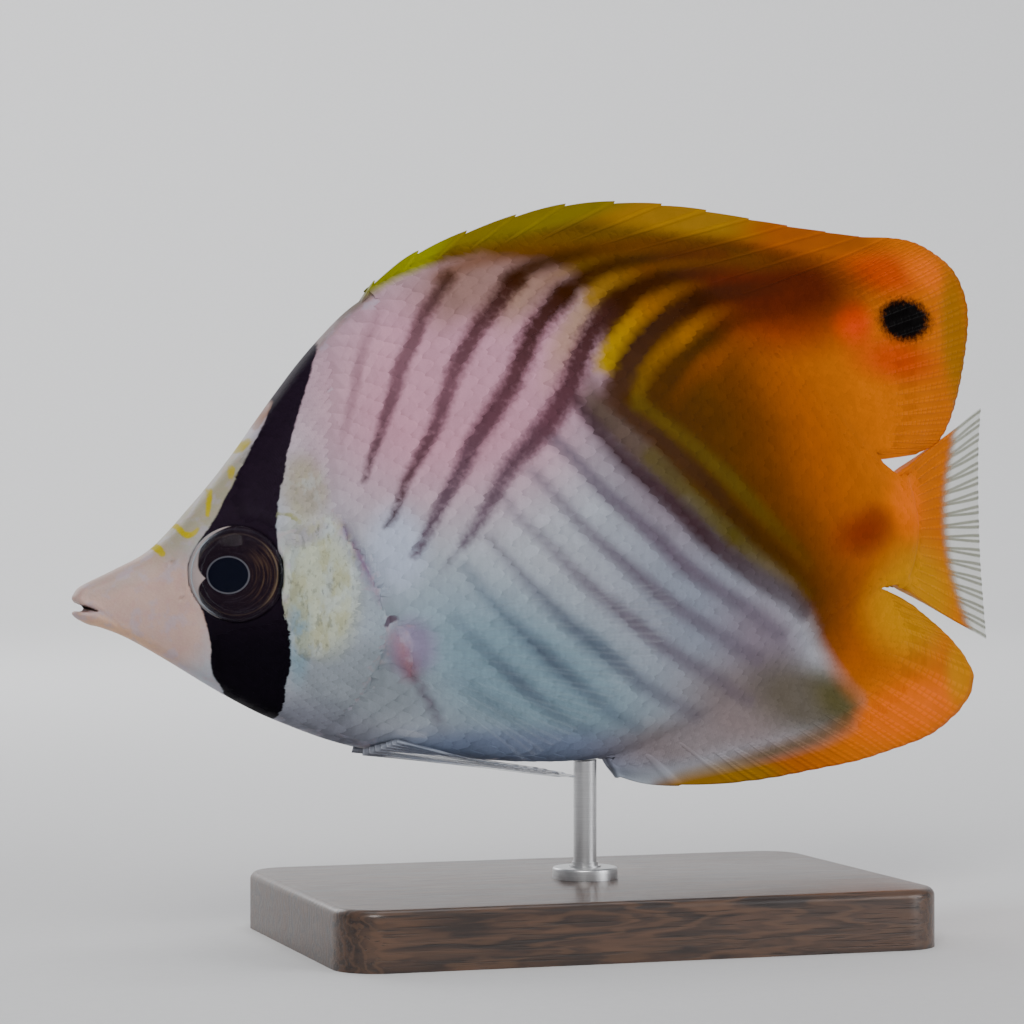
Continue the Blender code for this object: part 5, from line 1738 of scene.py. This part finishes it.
def build_stage(settings):
    """Round pale floor that curves up all about, soft lights and the camera at the photograph's angle."""
    deselect()
    bpy.ops.mesh.primitive_circle_add(vertices=96, radius=1.3, fill_type="TRIFAN")
    floor = bpy.context.object
    floor.name = "floor"
    bpy.ops.object.mode_set(mode="EDIT")
    bpy.ops.mesh.select_mode(type="EDGE")
    shaped = bmesh.from_edit_mesh(floor.data)
    for edge in shaped.edges:
        edge.select_set(edge.is_boundary)
    bmesh.update_edit_mesh(floor.data)
    for k in range(1, 13):
        turn = math.radians(7.5 * k)
        before = math.radians(7.5 * (k - 1))
        wider = (1.3 + 0.7 * math.sin(turn)) / (1.3 + 0.7 * math.sin(before))
        rise = 0.7 * (math.cos(before) - math.cos(turn))
        bpy.ops.mesh.extrude_edges_move(TRANSFORM_OT_translate={"value": (0, 0, rise)})
        bpy.ops.transform.resize(value=(wider, wider, 1))
    bpy.ops.mesh.extrude_edges_move(TRANSFORM_OT_translate={"value": (0, 0, 0.9)})
    bpy.ops.mesh.select_all(action="SELECT")
    bpy.ops.mesh.normals_make_consistent(inside=True)
    bpy.ops.object.mode_set(mode="OBJECT")
    floor.data.materials.append(floor_finish())
    floor.data.shade_smooth()

    area_light("key", (-0.3, -0.7, 0.62), (0, 0, 0.05), 0.45, settings.light, (1, 0.985, 0.96))
    area_light("fill", (0.66, -0.6, 0.3), (0, 0, 0.06), 0.6, settings.light * 0.8, (0.97, 0.98, 1))
    area_light("top", (0.05, 0.12, 0.9), (0, 0, 0.05), 0.6, settings.light * 0.5, (1, 1, 1))
    area_light("rear", (-0.3, 0.75, 0.45), (0, 0, 0.06), 0.5, settings.light * 0.4, (0.97, 0.98, 1))
    area_light("backdrop", (0, 0.7, 1.3), (0, 2.0, 0.5), 0.9, settings.light * 6, (1, 1, 1))
    world = bpy.data.worlds.new("studio")
    world.use_nodes = True
    world.node_tree.nodes["Background"].inputs["Color"].default_value = (0.9, 0.93, 1, 1)
    world.node_tree.nodes["Background"].inputs["Strength"].default_value = 0.35
    bpy.context.scene.world = world

    turn = settings.turn
    right = Vector((math.cos(turn), math.sin(turn), 0))
    ahead = Vector((-math.sin(turn), math.cos(turn), 0))
    spot = right * settings.shift - ahead * settings.distance + Vector((0, 0, AXIS_HEIGHT * MM))
    deselect()
    bpy.ops.object.camera_add(location=spot)
    camera = bpy.context.object
    camera.rotation_euler = ahead.to_track_quat("-Z", "Y").to_euler()
    camera.data.lens = settings.lens
    camera.data.sensor_width = 36
    camera.data.clip_start = 0.01
    bpy.context.scene.camera = camera


class FISH_OT_skin(bpy.types.Operator):
    """Lay one skin over head, body and tail base"""
    bl_idname = "fish.skin"
    bl_label = "Skin"

    def execute(self, context):
        build_skin()
        return {"FINISHED"}


class FISH_OT_scales(bpy.types.Operator):
    """Cover head, body and fin bases with scales"""
    bl_idname = "fish.scales"
    bl_label = "Scales"

    def execute(self, context):
        build_scales()
        return {"FINISHED"}


class FISH_OT_middle_fins(bpy.types.Operator):
    """Make the dorsal, anal and tail fins"""
    bl_idname = "fish.middle_fins"
    bl_label = "Middle fins"

    def execute(self, context):
        build_middle_fins()
        return {"FINISHED"}


class FISH_OT_paired_fins(bpy.types.Operator):
    """Make the pectoral and pelvic fins"""
    bl_idname = "fish.paired_fins"
    bl_label = "Paired fins"

    def execute(self, context):
        build_paired_fins()
        return {"FINISHED"}


class FISH_OT_eyes(bpy.types.Operator):
    """Set the eyes into their sockets"""
    bl_idname = "fish.eyes"
    bl_label = "Eyes"

    def execute(self, context):
        build_eyes()
        return {"FINISHED"}


class FISH_OT_stand(bpy.types.Operator):
    """Make the wooden base and the steel rod"""
    bl_idname = "fish.stand"
    bl_label = "Stand"

    def execute(self, context):
        build_stand()
        return {"FINISHED"}


class FISH_OT_stage(bpy.types.Operator):
    """Add the floor, lights and camera"""
    bl_idname = "fish.stage"
    bl_label = "Stage"

    def execute(self, context):
        build_stage(context.scene.fish_stage)
        return {"FINISHED"}


STEPS = (FISH_OT_skin, FISH_OT_scales, FISH_OT_middle_fins, FISH_OT_paired_fins, FISH_OT_eyes, FISH_OT_stand,
         FISH_OT_stage)


class FISH_PT_sidebar(bpy.types.Panel):
    """Sizes, colours and steps of the butterflyfish"""
    bl_label = "Butterflyfish"
    bl_space_type = "VIEW_3D"
    bl_region_type = "UI"
    bl_category = "Butterflyfish"

    def draw(self, context):
        for group in (context.scene.fish_sizes, context.scene.fish_colours, context.scene.fish_stage):
            box = self.layout.box()
            for name in group.__annotations__:
                box.prop(group, name)
        for step in STEPS:
            self.layout.operator(step.bl_idname)


CLASSES = (FishSizes, FishColours, StageSettings, *STEPS, FISH_PT_sidebar)


def register():
    for part in CLASSES:
        bpy.utils.register_class(part)
    bpy.types.Scene.fish_sizes = bpy.props.PointerProperty(type=FishSizes)
    bpy.types.Scene.fish_colours = bpy.props.PointerProperty(type=FishColours)
    bpy.types.Scene.fish_stage = bpy.props.PointerProperty(type=StageSettings)


def unregister():
    del bpy.types.Scene.fish_stage
    del bpy.types.Scene.fish_colours
    del bpy.types.Scene.fish_sizes
    for part in reversed(CLASSES):
        bpy.utils.unregister_class(part)


def main():
    register()
    bpy.ops.fish.skin()
    bpy.ops.fish.scales()
    bpy.ops.fish.middle_fins()
    bpy.ops.fish.paired_fins()
    bpy.ops.fish.eyes()
    bpy.ops.fish.stand()
    bpy.ops.fish.stage()


if __name__ == "__main__":
    main()
